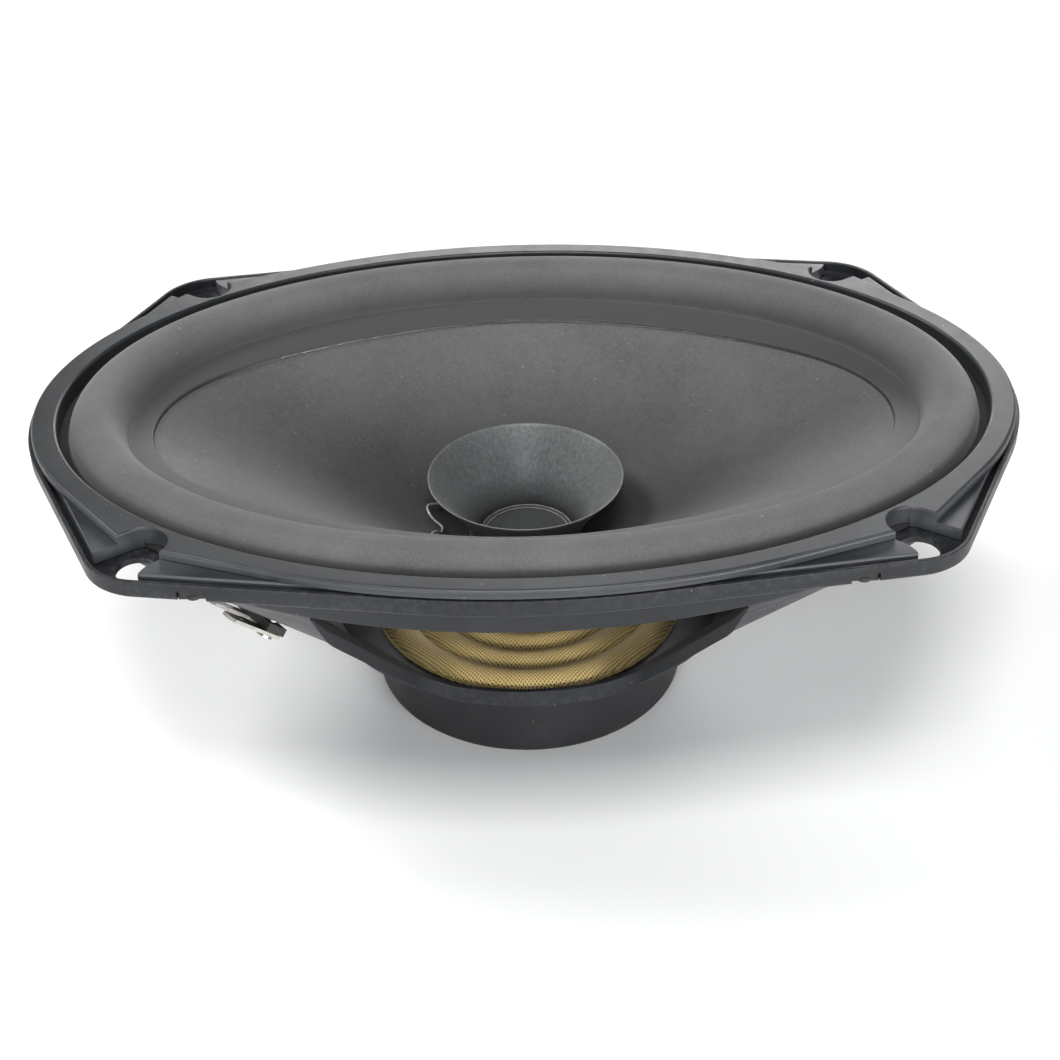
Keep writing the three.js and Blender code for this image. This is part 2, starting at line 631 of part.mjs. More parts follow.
// Enamelled wire on top of the cone, from the coil's neck out to its eyelet. The negative one
// swings out past the whizzer before it turns back.
const wireRoutes = {
  positive: [[0.05, -98], [0.1, -105], [0.17, -114]],
  negative: [[0.05, 140], [0.11, 152], [0.166, 167], [0.155, 175], [0.134, 182.5], [0.114, 188.3], [0.13, 200]],
};

function makeCoilWire(name) {
  const { coneShare, coneAngle } = polarities[name];
  const lift = CONE_THICKNESS / 2 + GAP + WIRE_RADIUS;
  const points = wireRoutes[name].map(([share, angle]) => offCone(share, angle, lift + 0.05));
  const over = EYELET_HALF_HEIGHT + GAP + WIRE_RADIUS + 0.1;
  const end = offCone(coneShare, coneAngle, over);
  const last = points[points.length - 1];
  const near = end.clone().lerp(last, 3 / end.distanceTo(last));
  points.push(near.setZ(near.z + 0.5), end);
  return tube(points, WIRE_RADIUS, 18, 5);
}

// The braided lead under the cone, from its eyelet down and out to the terminal rivet.
function makeTinselLead(name) {
  const { side, coneShare, coneAngle } = polarities[name];
  const start = offCone(coneShare, coneAngle, -EYELET_HALF_HEIGHT - GAP - LEAD_RADIUS);
  const end = new THREE.Vector3(0, (side * TERMINAL_SPACING) / 2, RIVET_INNER_END - GAP - LEAD_RADIUS)
    .applyMatrix4(terminalFrame());
  const middle = (share, drop) => start.clone().lerp(end, share).add(new THREE.Vector3(0, 0, -drop));
  const points = [start, middle(0.1, 1.6), middle(0.35, 4), middle(0.62, 4.6), middle(0.88, 2.4), end];
  return tube(points, LEAD_RADIUS, 14, 8);
}

const boardTop = BOARD_BOTTOM + BOARD_THICKNESS;
const boardHoles = () => [-1, 0, 1].map((side) =>
  cylinder(TERMINAL_RIVET_RADIUS + GAP, BOARD_BOTTOM - 1, boardTop + 3, 0, (side * TERMINAL_SPACING) / 2));

function makeTerminalBoard() {
  const half = TERMINAL_SPACING / 2 + 4;
  return cut(block([-2.4, -half, BOARD_BOTTOM], [2.4, half, boardTop]), ...boardHoles());
}

function makeTerminalTab(name) {
  const { side, tabWidth } = polarities[name];
  const y = (side * TERMINAL_SPACING) / 2;
  const tip = -11.5;
  const half = tabWidth / 2;
  const corner = 1.2;
  const shape = new THREE.Shape();
  shape.moveTo(2.2, -half);
  shape.lineTo(2.2, half);
  shape.lineTo(tip + corner, half);
  shape.lineTo(tip, half - corner);
  shape.lineTo(tip, corner - half);
  shape.lineTo(tip + corner, -half);
  const tab = new THREE.ExtrudeGeometry(shape, { depth: TAB_THICKNESS, bevelEnabled: false });
  tab.translate(0, y, boardTop + GAP);
  return cut(solid(tab), ...boardHoles(), cylinder(0.8, 0, 6, tip + 4, y));
}

function terminalRivet(y, headBottom, innerHeadTop) {
  return unite(
    cylinder(TERMINAL_RIVET_RADIUS, innerHeadTop - 0.6, headBottom + 0.6, 0, y),
    cylinder(2, headBottom, headBottom + 0.6, 0, y),
    cylinder(2, innerHeadTop - 0.6, innerHeadTop, 0, y),
  );
}

// ---- Magnet system ---------------------------------------------------------------------------

function makeBackPlate() {
  const poleTop = TOP_PLATE.top - 0.1;
  return ovalTurn([
    { r: 0, z: BACK_PLATE.bottom },
    { r: BACK_PLATE.radius, z: BACK_PLATE.bottom },
    { r: BACK_PLATE.radius, z: BACK_PLATE.top },
    { r: POLE_RADIUS, z: BACK_PLATE.top },
    { r: POLE_RADIUS, z: poleTop - 0.6 },
    { r: POLE_RADIUS - 0.6, z: poleTop },
    { r: 0, z: poleTop },
  ], ROUND_SEGMENTS);
}

function makeTopPlate() {
  const holes = rivetPlaces().map(([x, y]) =>
    cylinder(RIVET_HOLE_RADIUS, TOP_PLATE.bottom - 1, TOP_PLATE.top + 1, x, y));
  return cut(washer(TOP_PLATE.outer, TOP_PLATE.inner, TOP_PLATE.bottom, TOP_PLATE.top), ...holes);
}

function makeBoot() {
  const top = LIP_BOTTOM.z - GAP;
  const inner = BOOT_RADIUS - BOOT_WALL;
  return ovalTurn([
    { r: 0, z: 0 },
    { r: BOOT_RADIUS - 1.8, z: 0 },
    { r: BOOT_RADIUS - 0.8, z: 0.4 },
    { r: BOOT_RADIUS - 0.2, z: 1.4 },
    { r: BOOT_RADIUS, z: 2.6 },
    { r: BOOT_RADIUS, z: top },
    { r: inner, z: top },
    { r: inner, z: BOOT_FLOOR },
    { r: 0, z: BOOT_FLOOR },
  ], ROUND_SEGMENTS);
}

function makeBasketRivet([x, y]) {
  const headBottom = FLOOR_TOP + GAP;
  return unite(
    cylinder(RIVET_RADIUS, TOP_PLATE.bottom, headBottom + 0.5, x, y),
    cylinder(BASKET_RIVET_HEAD, headBottom, headBottom + 0.9, x, y),
  );
}

// ---- Assembly --------------------------------------------------------------------------------

addPiece('basket', makeBasket(), material.paintedSteel);
addPiece('trim_ring', makeTrimRing(), material.trimPlastic);

addPiece('surround', makeSurround(), material.foam);
addPiece('cone', makeCone(), material.paper);
addPiece('whizzer_cone', makeWhizzer(), material.whizzerPaper);
addPiece('dust_cap', makeDustCap(), material.capPaper);
addPiece('spider', makeSpider(), material.cloth);

const formerBottom = COIL_BOTTOM - 0.3;
const coilInner = FORMER_OUTER + 0.1;
const coilTop = COIL_BOTTOM + COIL_HEIGHT;
addPiece('voice_coil_former', washer(FORMER_OUTER, FORMER_INNER, formerBottom, FORMER_TOP, SMALL_SEGMENTS),
  material.polyimide);
addPiece('voice_coil', washer(COIL_OUTER, coilInner, COIL_BOTTOM, coilTop, SMALL_SEGMENTS), material.copper);

const terminal = new THREE.Group();
terminal.applyMatrix4(terminalFrame());
speaker.add(terminal);
addPiece('terminal_board', makeTerminalBoard(), material.phenolic, terminal);
addPiece('terminal_board_rivet', terminalRivet(0, boardTop + GAP, -1.7), material.zincSteel, terminal);
for (const [name, { side }] of Object.entries(polarities)) {
  const tabTop = boardTop + GAP + TAB_THICKNESS;
  const rivet = terminalRivet((side * TERMINAL_SPACING) / 2, tabTop + GAP, BOARD_BOTTOM - GAP);
  addPiece(`terminal_tab_${name}`, makeTerminalTab(name), material.brass, terminal);
  addPiece(`terminal_rivet_${name}`, rivet, material.brass, terminal);
  addPiece(`tinsel_lead_${name}`, makeTinselLead(name), material.braid);
  addPiece(`lead_eyelet_${name}`, makeEyelet(name), material.brass);
  addPiece(`coil_wire_${name}`, makeCoilWire(name), material.copper);
}

addPiece('top_plate', makeTopPlate(), material.zincSteel);
addPiece('magnet', washer(MAGNET.outer, MAGNET.inner, MAGNET.bottom, MAGNET.top), material.ferrite);
addPiece('back_plate', makeBackPlate(), material.zincSteel);
addPiece('magnet_boot', makeBoot(), material.bootRubber);
rivetPlaces().forEach((place, i) => {
  addPiece(`basket_rivet_${i + 1}`, makeBasketRivet(place), material.zincSteel);
});

export default speaker;
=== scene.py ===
"""An oval car loudspeaker: the fine surfaces, materials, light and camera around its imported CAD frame.

Shapes are worked out in millimetres in the frame of the part and scaled to metres as each mesh is made.
"""
import json
import math

import bmesh
import bpy
import numpy as np
from mathutils import Matrix, Vector


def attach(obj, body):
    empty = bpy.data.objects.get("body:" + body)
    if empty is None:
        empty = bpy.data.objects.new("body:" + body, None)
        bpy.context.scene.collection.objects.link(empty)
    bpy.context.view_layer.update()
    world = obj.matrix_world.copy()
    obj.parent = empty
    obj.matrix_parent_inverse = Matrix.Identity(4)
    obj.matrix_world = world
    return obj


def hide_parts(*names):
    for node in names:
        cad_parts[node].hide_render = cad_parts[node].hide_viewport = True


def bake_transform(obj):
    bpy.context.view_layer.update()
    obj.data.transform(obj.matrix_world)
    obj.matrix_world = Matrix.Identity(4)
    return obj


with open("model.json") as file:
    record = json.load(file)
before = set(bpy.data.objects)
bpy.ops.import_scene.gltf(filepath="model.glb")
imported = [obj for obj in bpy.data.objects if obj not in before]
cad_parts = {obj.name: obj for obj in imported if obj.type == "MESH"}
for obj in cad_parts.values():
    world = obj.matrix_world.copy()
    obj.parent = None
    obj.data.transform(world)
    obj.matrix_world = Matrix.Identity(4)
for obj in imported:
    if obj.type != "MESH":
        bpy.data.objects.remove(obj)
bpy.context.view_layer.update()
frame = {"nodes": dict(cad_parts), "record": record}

MM = 0.001
SEGMENTS = 256  # around the ovals

# ---- Sizes of the part, in millimetres ----

RING_TOP = 80.0
FLANGE_TOP = 74.6
FLANGE_BOTTOM = 73.2
RIM_TOP = 77.5
RIM_THICKNESS = 1.1
FLANGE = (117.8, 80.2, 81.2, 54.8, 15.0)  # oval half-lengths, ear centre and ear radius
BAND = (116.8, 80.0, 84.2, 57.2, 2.5)  # the same for the raised band of the trim ring
SCREW = (83.8, 61.3, 4.5)  # centre and radius
OVAL = 36.0  # how much longer than wide the half ovals are
FLANGE_OPENING = 72.8
RING_BOTTOM = 74.9
WEB_TOP = 77.8
WEB_INSET = 2.4
RING_OPENING = 74.8
WEB_EDGE = 0.5  # how far each edge is rounded
BAND_EDGE = 0.9
OPENING_EDGE = 0.8
WELL_EDGE = (0.55, 0.6)
REBATE_RADIUS = 77.9
REBATE_TOP = 75.8
NOTCH = (82.3, 58.6, 5.4)  # centre and radius of a well's round end
WELL_SIDE = (112.0, 71.4)  # where a well's front edge leaves the ear
WELL_OUTSIDE = 92.0
WELL_BEND = (65.4, 69.0)  # a well's back edge bends between these
PEG = (70.7, 68.6, 1.5)  # centre and radius
PEG_SLOT_WIDTH = 6.2
PEG_SLOT_BACK = 2.2
PEG_SLOT_HEIGHT = 2.4
PEG_SLOT_REACH = 85.0  # beyond the rim
HOLE_BOTTOM = 70.0
HOLE_TOP = 79.0

SKIRT_TOP = (75.8, 73.2, 35.7)  # each is r, z and stretch
WALL_TOP = (74.5, 65.0, 35.1)
WALL_BOTTOM = (41.4, 21.3, 10.0)
LIP_BOTTOM = (40.4, 16.7, 10.0)
FLOOR_TOP = 18.2
WALL_THICKNESS = 1.7
SEAT_Z = 19.5
FLOOR_OPENING = 25.5
WINDOW_TOP = (47.0, 65.05)  # half-width and height
WINDOW_BOTTOM = (22.5, 21.3)
WINDOW_CORNER = 8.0
WINDOW_REACH = (20.0, 90.0)  # the cut, from the middle outwards
RAIL_HEIGHT = 3.9

TERMINAL_ANGLE = -145  # degrees round the wall
TERMINAL_SHARE = 0.56  # of the way down it
TERMINAL_SPACING = 10.8
TERMINAL_HOLES = ((-TERMINAL_SPACING / 2, 2.6), (0, 1.7), (TERMINAL_SPACING / 2, 2.6))
RIVET_INNER_END = -0.5
EYELET_HALF = 1.0
LEAD_RADIUS = 0.7
WIRE_RADIUS = 0.33
WIRE_OFF_CONE = 0.4 + 0.3 + 0.35 + 0.05  # from the middle of the paper to the wire's
WIRE_OFF_EYELET = 0.3 + 0.35 + 0.1  # from the eyelet's outside to the wire's middle

ROLL_OUTER = 72.2
ROLL_INNER = 59.3
LIP_INNER = 50.3
LIP_Z = 72.5
ROLL_FOOT_Z = 73.3
ROLL_HEIGHT = 7.7
SURROUND_SEAT_Z = 75.2
SURROUND_THICKNESS = 0.6
LIP_STRETCH = 39.2
LIP_PINCH = 0.062
NECK = (13.2, 37.0)
CONE_EDGE_Z = 71.5
CONE_FLARE = 0.88
CONE_THICKNESS = 0.8
SPIDER_OUTER = 38.8
SPIDER_INNER = 17.0
SPIDER_PITCH = 7.15
SPIDER_ROLLS = 3
SPIDER_HEIGHT = 2.4
SPIDER_THICKNESS = 0.35
WHIZZER_FOOT = (12.9, 38.3)  # r and z
WHIZZER_GROWTH = (11.1, 18.0)  # outwards and upwards
WHIZZER_FLARE = 1.5
WHIZZER_THICKNESS = 0.4
FORMER = (12.05, 12.35, 10.6, 37.9, (0.1, 0.1, 0.12, 0.12))  # inner, outer, bottom, top, corners
COIL = (12.45, 12.95, 10.9, 18.9, (0.1, 0.15, 0.15, 0.1))
BOOT = (38.0, 39.2, 0.8, 16.4)  # inner and outer radius, floor thickness and top

# ---- Light and floor ----

HORIZON_GLOW = 0.85
OVERHEAD_GLOW = 0.05
GLOW_FADES = (0.05, 0.38)  # from the horizon up, as the height of a unit direction
STAGE_HALF = 2200.0
STAGE_BOTTOM = -20.0
STAGE_TOP = -0.3
LIGHTS = {  # place, target and size in metres, power in watts, colour
    "key_light": ((0.0, -1.0, 2.7), (0, 0, 0.05), (1.2, 0.9), 50, (1, 1, 1)),
    "front_light": ((0.0, -1.75, 1.35), (0, 0, 0.05), (0.45, 0.35), 9, (0.88, 0.94, 1.0)),
    "left_light": ((-1.7, 0.6, 2.0), (0, 0, 0.05), (0.9, 0.9), 36, (1, 1, 1)),
    "back_light": ((0.35, 2.2, 0.9), (0, 0, 0.07), (1.8, 0.5), 26, (1, 1, 1)),
    "low_left_light": ((-0.8, -1.9, 0.5), (0, 0, 0.03), (1.0, 0.5), 14, (1, 1, 1)),
    "low_right_light": ((1.1, -1.7, 0.42), (0, 0, 0.03), (1.0, 0.5), 27, (1, 1, 1)),
}

# ---- Camera ----

camera_data = bpy.data.cameras.new("camera")
camera_data.lens = 62.886
camera_data.sensor_width = 36.0
camera_data.clip_start = 0.01
camera = bpy.data.objects.new("camera", camera_data)
bpy.context.scene.collection.objects.link(camera)
camera.matrix_world = Matrix((
    (0.99962715, 0.02717488, -0.00266334, -0.00046),
    (-0.01768079, 0.56986981, -0.82154476, -0.38290),
    (-0.02080762, 0.82128553, 0.5701378, 0.30541),
    (0, 0, 0, 1),
))
bpy.context.scene.camera = camera
bpy.context.scene.view_settings.view_transform = "Standard"


# ---- Mesh helpers ----

def piece(name, vertices, faces, sharp=40):
    """A smooth-shaded object from millimetre vertices, its faces turned outwards."""
    mesh = bpy.data.meshes.new(name)
    mesh.from_pydata((np.asarray(vertices, float) * MM).tolist(), [], faces)
    shape = bpy.data.objects.new(name, mesh)
    bpy.context.scene.collection.objects.link(shape)
    tidy(shape, sharp)
    return shape


def tidy(shape, sharp=40):
    """Merges doubled points, turns the faces outwards, and shades smooth between sharp edges."""
    work = bmesh.new()
    work.from_mesh(shape.data)
    bmesh.ops.remove_doubles(work, verts=work.verts, dist=1e-7)
    bmesh.ops.dissolve_degenerate(work, dist=1e-7, edges=work.edges)
    bmesh.ops.recalc_face_normals(work, faces=work.faces)
    work.to_mesh(shape.data)
    work.free()
    shape.data.shade_smooth()
    shape.data.set_sharp_from_angle(angle=math.radians(sharp))
    return shape


def applied(shape):
    """Applies the object's modifiers."""
    bpy.context.view_layer.update()
    view = bpy.context.evaluated_depsgraph_get()
    mesh = bpy.data.meshes.new_from_object(shape.evaluated_get(view))
    shape.modifiers.clear()
    shape.data = mesh
    return shape


def combine(shape, other, operation, sharp=40):
    """Cuts other out of shape, or joins it on, and removes other."""
    modifier = shape.modifiers.new("combine", "BOOLEAN")
    modifier.object = other
    modifier.operation = operation
    modifier.solver = "EXACT"
    modifier.use_self = False
    applied(shape)
    bpy.data.objects.remove(other)
    return tidy(shape, sharp)


def joined(name, shapes):
    """Several separate shells as one object."""
    vertices, faces = [], []
    for shape in shapes:
        start = len(vertices)
        vertices += [v.co / MM for v in shape.data.vertices]
        faces += [[start + v for v in polygon.vertices] for polygon in shape.data.polygons]
        bpy.data.objects.remove(shape)
    return piece(name, vertices, faces)


def flattened(shape):
    """Makes large flat faces keep their own normals next to rounded edges."""
    modifier = shape.modifiers.new("normals", "WEIGHTED_NORMAL")
    modifier.weight = 100
    modifier.keep_sharp = True
    return applied(shape)


def turned(name, profile, segments=SEGMENTS, sharp=40, centre=(0, 0)):
    """A closed profile of (r, z, stretch, pinch) turned about Z.

    The stretch lengthens the turn along X, and the pinch draws the oval's four flanks in along Y.
    """
    line = padded(profile)
    turn = np.linspace(0, 2 * math.pi, segments, endpoint=False)[:, None]
    x = (line[:, 0] + line[:, 2]) * np.cos(turn) + centre[0]
    y = line[:, 0] * np.sin(turn) * (1 - line[:, 3] * np.sin(2 * turn) ** 2) + centre[1]
    z = np.broadcast_to(line[:, 1], x.shape)
    count = len(line)
    faces = []
    for i in range(segments):
        here, there = i * count, (i + 1) % segments * count
        for j in range(count):
            k = (j + 1) % count
            faces.append((here + j, there + j, there + k, here + k))
    return piece(name, np.stack([x, y, z], -1).reshape(-1, 3), faces, sharp)


def plug(radius, low, high, stretch=0.0, segments=SEGMENTS, centre=(0, 0)):
    """A round or oval block to cut a hole with."""
    profile = [(0, low), (radius, low, stretch), (radius, high, stretch), (0, high)]
    return turned("plug", profile, segments, centre=centre)


def padded(profile):
    """Profile points with their missing stretch and pinch filled in as 0."""
    return np.array([(*point, 0.0, 0.0)[:4] for point in profile], float)


def lofted(name, levels, sharp=40):
    """A solid through stacked outlines of equal length, given as (outline, z)."""
    count = len(levels[0][0])
    vertices = np.concatenate([np.column_stack([outline, np.full(count, z)]) for outline, z in levels])
    faces = [list(range(count))[::-1], [len(vertices) - count + i for i in range(count)]]
    for level in range(len(levels) - 1):
        faces += band_of_faces(level * count, (level + 1) * count, count)
    return piece(name, vertices, faces, sharp)


def band_of_faces(low, high, count):
    """The faces between two loops of count points, which start at low and at high."""
    return [(low + i, low + (i + 1) % count, high + (i + 1) % count, high + i) for i in range(count)]


def boxed(name, low, high):
    x_ends, y_ends, z_ends = zip(low, high)
    corners = [(x, y, z) for x in x_ends for y in y_ends for z in z_ends]
    faces = [(0, 1, 3, 2), (4, 6, 7, 5), (0, 4, 5, 1), (2, 3, 7, 6), (0, 2, 6, 4), (1, 5, 7, 3)]
    return piece(name, corners, faces)


def wrapped(halves, inset=0.0, count=480):
    """The outline wrapped tightly round an oval and four round corners, moved inwards by inset."""
    half_x, half_y, corner_x, corner_y, radius = halves
    turn = (np.arange(count) + 0.5) / count * 2 * math.pi
    normal = np.column_stack([np.cos(turn), np.sin(turn)])
    size = np.array([half_x, half_y])
    reach = np.hypot(*(normal * size).T)[:, None]
    corner = np.sign(normal) * (corner_x, corner_y)
    corner_reach = (corner * normal).sum(1, keepdims=True) + radius
    oval = normal * size ** 2 / reach
    return np.where(reach > corner_reach, oval, corner + radius * normal) - inset * normal


def filleted(corners, steps=6):
    """Rounds the corners of a closed profile of (r, z, stretch, radius)."""
    line = []
    for i, (*here, radius) in enumerate(corners):
        here = np.array(here)
        before = np.array(corners[i - 1][:3]) - here
        after = np.array(corners[(i + 1) % len(corners)][:3]) - here
        length_before, length_after = np.hypot(*before[:2]), np.hypot(*after[:2])
        if radius <= 0 or min(length_before, length_after) < 1e-6:
            line.append(tuple(here))
            continue
        toward, away = before / length_before, after / length_after
        half = math.acos(float(np.clip(toward[:2] @ away[:2], -1, 1))) / 2
        reach = min(radius / math.tan(half), 0.49 * length_before, 0.49 * length_after)
        start, end = here + toward * reach, here + away * reach
        middle = (toward + away)[:2]
        middle = here[:2] + middle / np.hypot(*middle) * reach / math.cos(half)
        first = math.atan2(*(start[:2] - middle)[::-1])
        sweep = math.atan2(*(end[:2] - middle)[::-1]) - first
        sweep = (sweep + math.pi) % (2 * math.pi) - math.pi
        round_radius = np.hypot(*(start[:2] - middle))
        for step in range(steps + 1):
            share = step / steps
            angle = first + sweep * share
            stretch = start[2] + (end[2] - start[2]) * share
            round_x, round_y = round_radius * math.cos(angle), round_radius * math.sin(angle)
            line.append((middle[0] + round_x, middle[1] + round_y, stretch))
    return line


def sheet(line, thickness, tip=True):
    """The closed profile of a round-ended sheet of even thickness about a line of profile points."""
    line = padded(line)
    along = np.gradient(line[:, :2], axis=0)
    along /= np.hypot(*along.T)[:, None]
    across = np.column_stack([-along[:, 1], along[:, 0]])
    half = thickness / 2
    upper, lower = line.copy(), line.copy()
    upper[:, :2] += across * half
    lower[:, :2] -= across * half
    ends = []
    for index, sign in ((-1, 1), (0, -1)):
        cap = []
        for angle in (30, 90, 150) if tip else ():
            turn = math.radians(angle)
            point = line[index].copy()
            offset = sign * (across[index] * math.cos(turn) + along[index] * math.sin(turn))
            point[:2] += offset * half
            cap.append(point)
        ends.append(cap)
    return [tuple(p) for p in [*upper, *ends[0], *lower[::-1], *ends[1]]]


def boxed_in_quadrant(name, sign_x, sign_y, low, high):
    """A box given where X and Y are positive, mirrored into a quadrant."""
    ends = np.sort([(sign_x * x, sign_y * y) for x, y, _ in (low, high)], axis=0)
    return boxed(name, (*ends[0], low[2]), (*ends[1], high[2]))


def bend(start, corner, end, shares):
    """Points on a curve that leaves start towards a corner and comes from it to end."""
    return [start * (1 - t) ** 2 + corner * 2 * t * (1 - t) + end * t ** 2 for t in shares]


def quarter_round(width, height, angles):
    """Steps round a convex edge, each as (how far in, how far up)."""
    turns = [math.radians(angle) for angle in angles]
    return [(width * (1 - math.cos(turn)), height * math.sin(turn)) for turn in turns]


def four(make):
    """The same piece in all four quadrants."""
    return [make(sign_x, sign_y) for sign_x in (1, -1) for sign_y in (1, -1)]


def in_quadrant(points, sign_x, sign_y):
    """An outline mirrored into a quadrant, still going round the same way."""
    mirrored = np.asarray(points, float) * (sign_x, sign_y)
    return mirrored if sign_x * sign_y > 0 else mirrored[::-1]


def grown(outline, by):
    """A dense outline that goes round anticlockwise, moved outwards."""
    along = np.roll(outline, -1, 0) - np.roll(outline, 1, 0)
    along /= np.hypot(*along.T)[:, None]
    return outline + by * np.column_stack([along[:, 1], -along[:, 0]])


def tube(name, points, radius, sides=10, steps=120, strands=0, twists=0.0):
    """A round tube along a smooth curve, or a rope of twisted strands of that outer radius."""
    path = smooth_path(points, steps)
    tangent = np.gradient(path, axis=0)
    tangent /= np.linalg.norm(tangent, axis=1)[:, None]
    side = np.cross(tangent[0], (0, 0, 1.0))
    side /= np.linalg.norm(side)
    frames = []
    for direction in tangent:
        side = side - direction * (side @ direction)
        side /= np.linalg.norm(side)
        frames.append((side.copy(), np.cross(direction, side)))
    strand_radius = radius * 0.42 if strands else radius
    offset = radius - strand_radius
    vertices, faces = [], []
    for strand in range(max(strands, 1)):
        start = len(vertices)
        for i, (point, (u, v)) in enumerate(zip(path, frames)):
            turn = 2 * math.pi * (strand / max(strands, 1) + twists * i / (steps - 1))
            middle = point + offset * (math.cos(turn) * u + math.sin(turn) * v)
            for k in range(sides):
                angle = 2 * math.pi * k / sides
                vertices.append(middle + strand_radius * (math.cos(angle) * u + math.sin(angle) * v))
        for i in range(steps - 1):
            faces += band_of_faces(start + i * sides, start + (i + 1) * sides, sides)
        faces.append([start + k for k in range(sides)][::-1])
        faces.append([start + (steps - 1) * sides + k for k in range(sides)])
    return piece(name, vertices, faces, 60), path


def smooth_path(points, steps):
    """Evenly spaced points on a centripetal Catmull-Rom curve."""
    points = np.asarray(points, float)
    ends = [2 * points[0] - points[1], *points, 2 * points[-1] - points[-2]]
    fine = []
    for a, b, c, d in zip(ends, ends[1:], ends[2:], ends[3:]):
        t1 = np.linalg.norm(b - a) ** 0.5
        t2 = t1 + np.linalg.norm(c - b) ** 0.5
        t3 = t2 + np.linalg.norm(d - c) ** 0.5
        for t in np.linspace(t1, t2, 24, endpoint=False):
            p = a + (b - a) * t / t1
            q = b + (c - b) * (t - t1) / (t2 - t1)
            r = c + (d - c) * (t - t2) / (t3 - t2)
            pq = p + (q - p) * t / t2
            qr = q + (r - q) * (t - t1) / (t3 - t1)
            fine.append(pq + (qr - pq) * (t - t1) / (t2 - t1))
    fine = np.array([*fine, points[-1]])
    length = np.concatenate([[0], np.cumsum(np.linalg.norm(np.diff(fine, axis=0), axis=1))])
    even = np.linspace(0, length[-1], steps)
    return np.column_stack([np.interp(even, length, fine[:, axis]) for axis in range(3)])


# ---- Materials ----

finishes = {}


class Shader:
    """A material's node tree, with short calls for its nodes. Each is kept in finishes by its name."""

    def __init__(self, name, roughness=0.5, metallic=0.0, specular=0.5, sheen=0.0, coat=0.0):
        self.material = bpy.data.materials.new(name)
        self.material.use_nodes = True
        finishes[name] = self.material
        self.tree = self.material.node_tree
        self.surface = self.tree.nodes["Principled BSDF"]
        for socket, value in (
                ("Roughness", roughness), ("Metallic", metallic), ("Specular IOR Level", specular),
                ("Sheen Weight", sheen), ("Sheen Roughness", 0.5),
                ("Coat Weight", coat), ("Coat Roughness", 0.3)):
            self.surface.inputs[socket].default_value = value
        self.place = self.node("ShaderNodeTexCoord").outputs["Object"]

    def node(self, kind, mode=None, **inputs):
        """A node in one mode, (name, value), its inputs linked or set by name or as i and a number."""
        made = self.tree.nodes.new(kind)
        if mode:
            setattr(made, *mode)
        for key, value in inputs.items():
            socket = made.inputs[int(key[1:]) if key[1:].isdigit() else key]
            if isinstance(value, bpy.types.NodeSocket):
                self.tree.links.new(value, socket)
            else:
                socket.default_value = value
        return made

    def math(self, operation, first, second=0.0, third=0.0):
        made = self.node("ShaderNodeMath", ("operation", operation), i0=first, i1=second, i2=third)
        return made.outputs[0]

    def position(self):
        """X, Y and Z of the part's frame, in metres."""
        return self.node("ShaderNodeSeparateXYZ", Vector=self.place).outputs

    def squeezed(self, scale):
        """The object's coordinates scaled on each axis."""
        return self.node("ShaderNodeMapping", Vector=self.place, Scale=scale).outputs[0]

    def noise(self, scale, detail=4.0, roughness=0.6, place=None, distortion=0.0):
        made = self.node("ShaderNodeTexNoise", Vector=place or self.place, Scale=scale, Detail=detail,
                         Roughness=roughness, Distortion=distortion)
        return made.outputs["Fac"]

    def between(self, value, low, high, to_low=0.0, to_high=1.0):
        """A value carried from one range to another, and held at its ends."""
        made = self.node("ShaderNodeMapRange", Value=value, i1=low, i2=high, i3=to_low, i4=to_high)
        return made.outputs[0]

    def blend(self, share, *shades):
        one, two = [s if isinstance(s, bpy.types.NodeSocket) else (*s, 1.0) for s in shades]
        return self.node("ShaderNodeMix", ("data_type", "RGBA"), i0=share, i6=one, i7=two).outputs[2]

    def mottled(self, scale, detail, dark, light, spread=(0.3, 0.7), grain=0.6):
        """A colour that drifts between two shades."""
        return self.blend(self.between(self.noise(scale, detail, grain), *spread), dark, light)

    def specks(self, scale, size, share):
        """Small round spots: 1 on a spot, with only a share of the cells holding one."""
        cells = self.node("ShaderNodeTexVoronoi", Vector=self.place, Scale=scale)
        near = self.between(cells.outputs["Distance"], size, size * 0.5)
        chance = self.node("ShaderNodeSeparateColor", Color=cells.outputs["Color"]).outputs[0]
        return self.math("MULTIPLY", near, self.math("LESS_THAN", chance, share))

    def edges(self, low=0.515, high=0.57):
        """1 on sharp outward edges."""
        return self.between(self.node("ShaderNodeNewGeometry").outputs["Pointiness"], low, high)

    def colour(self, value):
        self.tree.links.new(value, self.surface.inputs["Base Color"])

    def tint(self, share, shade, strength=None):
        """Lays a shade over the base colour so far."""
        before = self.surface.inputs["Base Color"].links[0].from_socket
        if strength is not None:
            share = self.math("MULTIPLY", share, strength)
        self.colour(self.blend(share, before, shade))

    def rough(self, value):
        self.tree.links.new(value, self.surface.inputs["Roughness"])

    def uneven(self, scale, detail, low, high, spread=(0.3, 0.7), grain=0.6):
        """Roughness that drifts between two values."""
        self.rough(self.between(self.noise(scale, detail, grain), *spread, low, high))

    def bump(self, *layers):
        """Stacked heights as (height, depth in millimetres, strength)."""
        normal = None
        for height, depth, strength in layers:
            made = self.node("ShaderNodeBump", Height=height, Distance=depth * MM, Strength=strength)
            if normal is not None:
                self.tree.links.new(normal, made.inputs["Normal"])
            normal = made.outputs["Normal"]
        self.tree.links.new(normal, self.surface.inputs["Normal"])


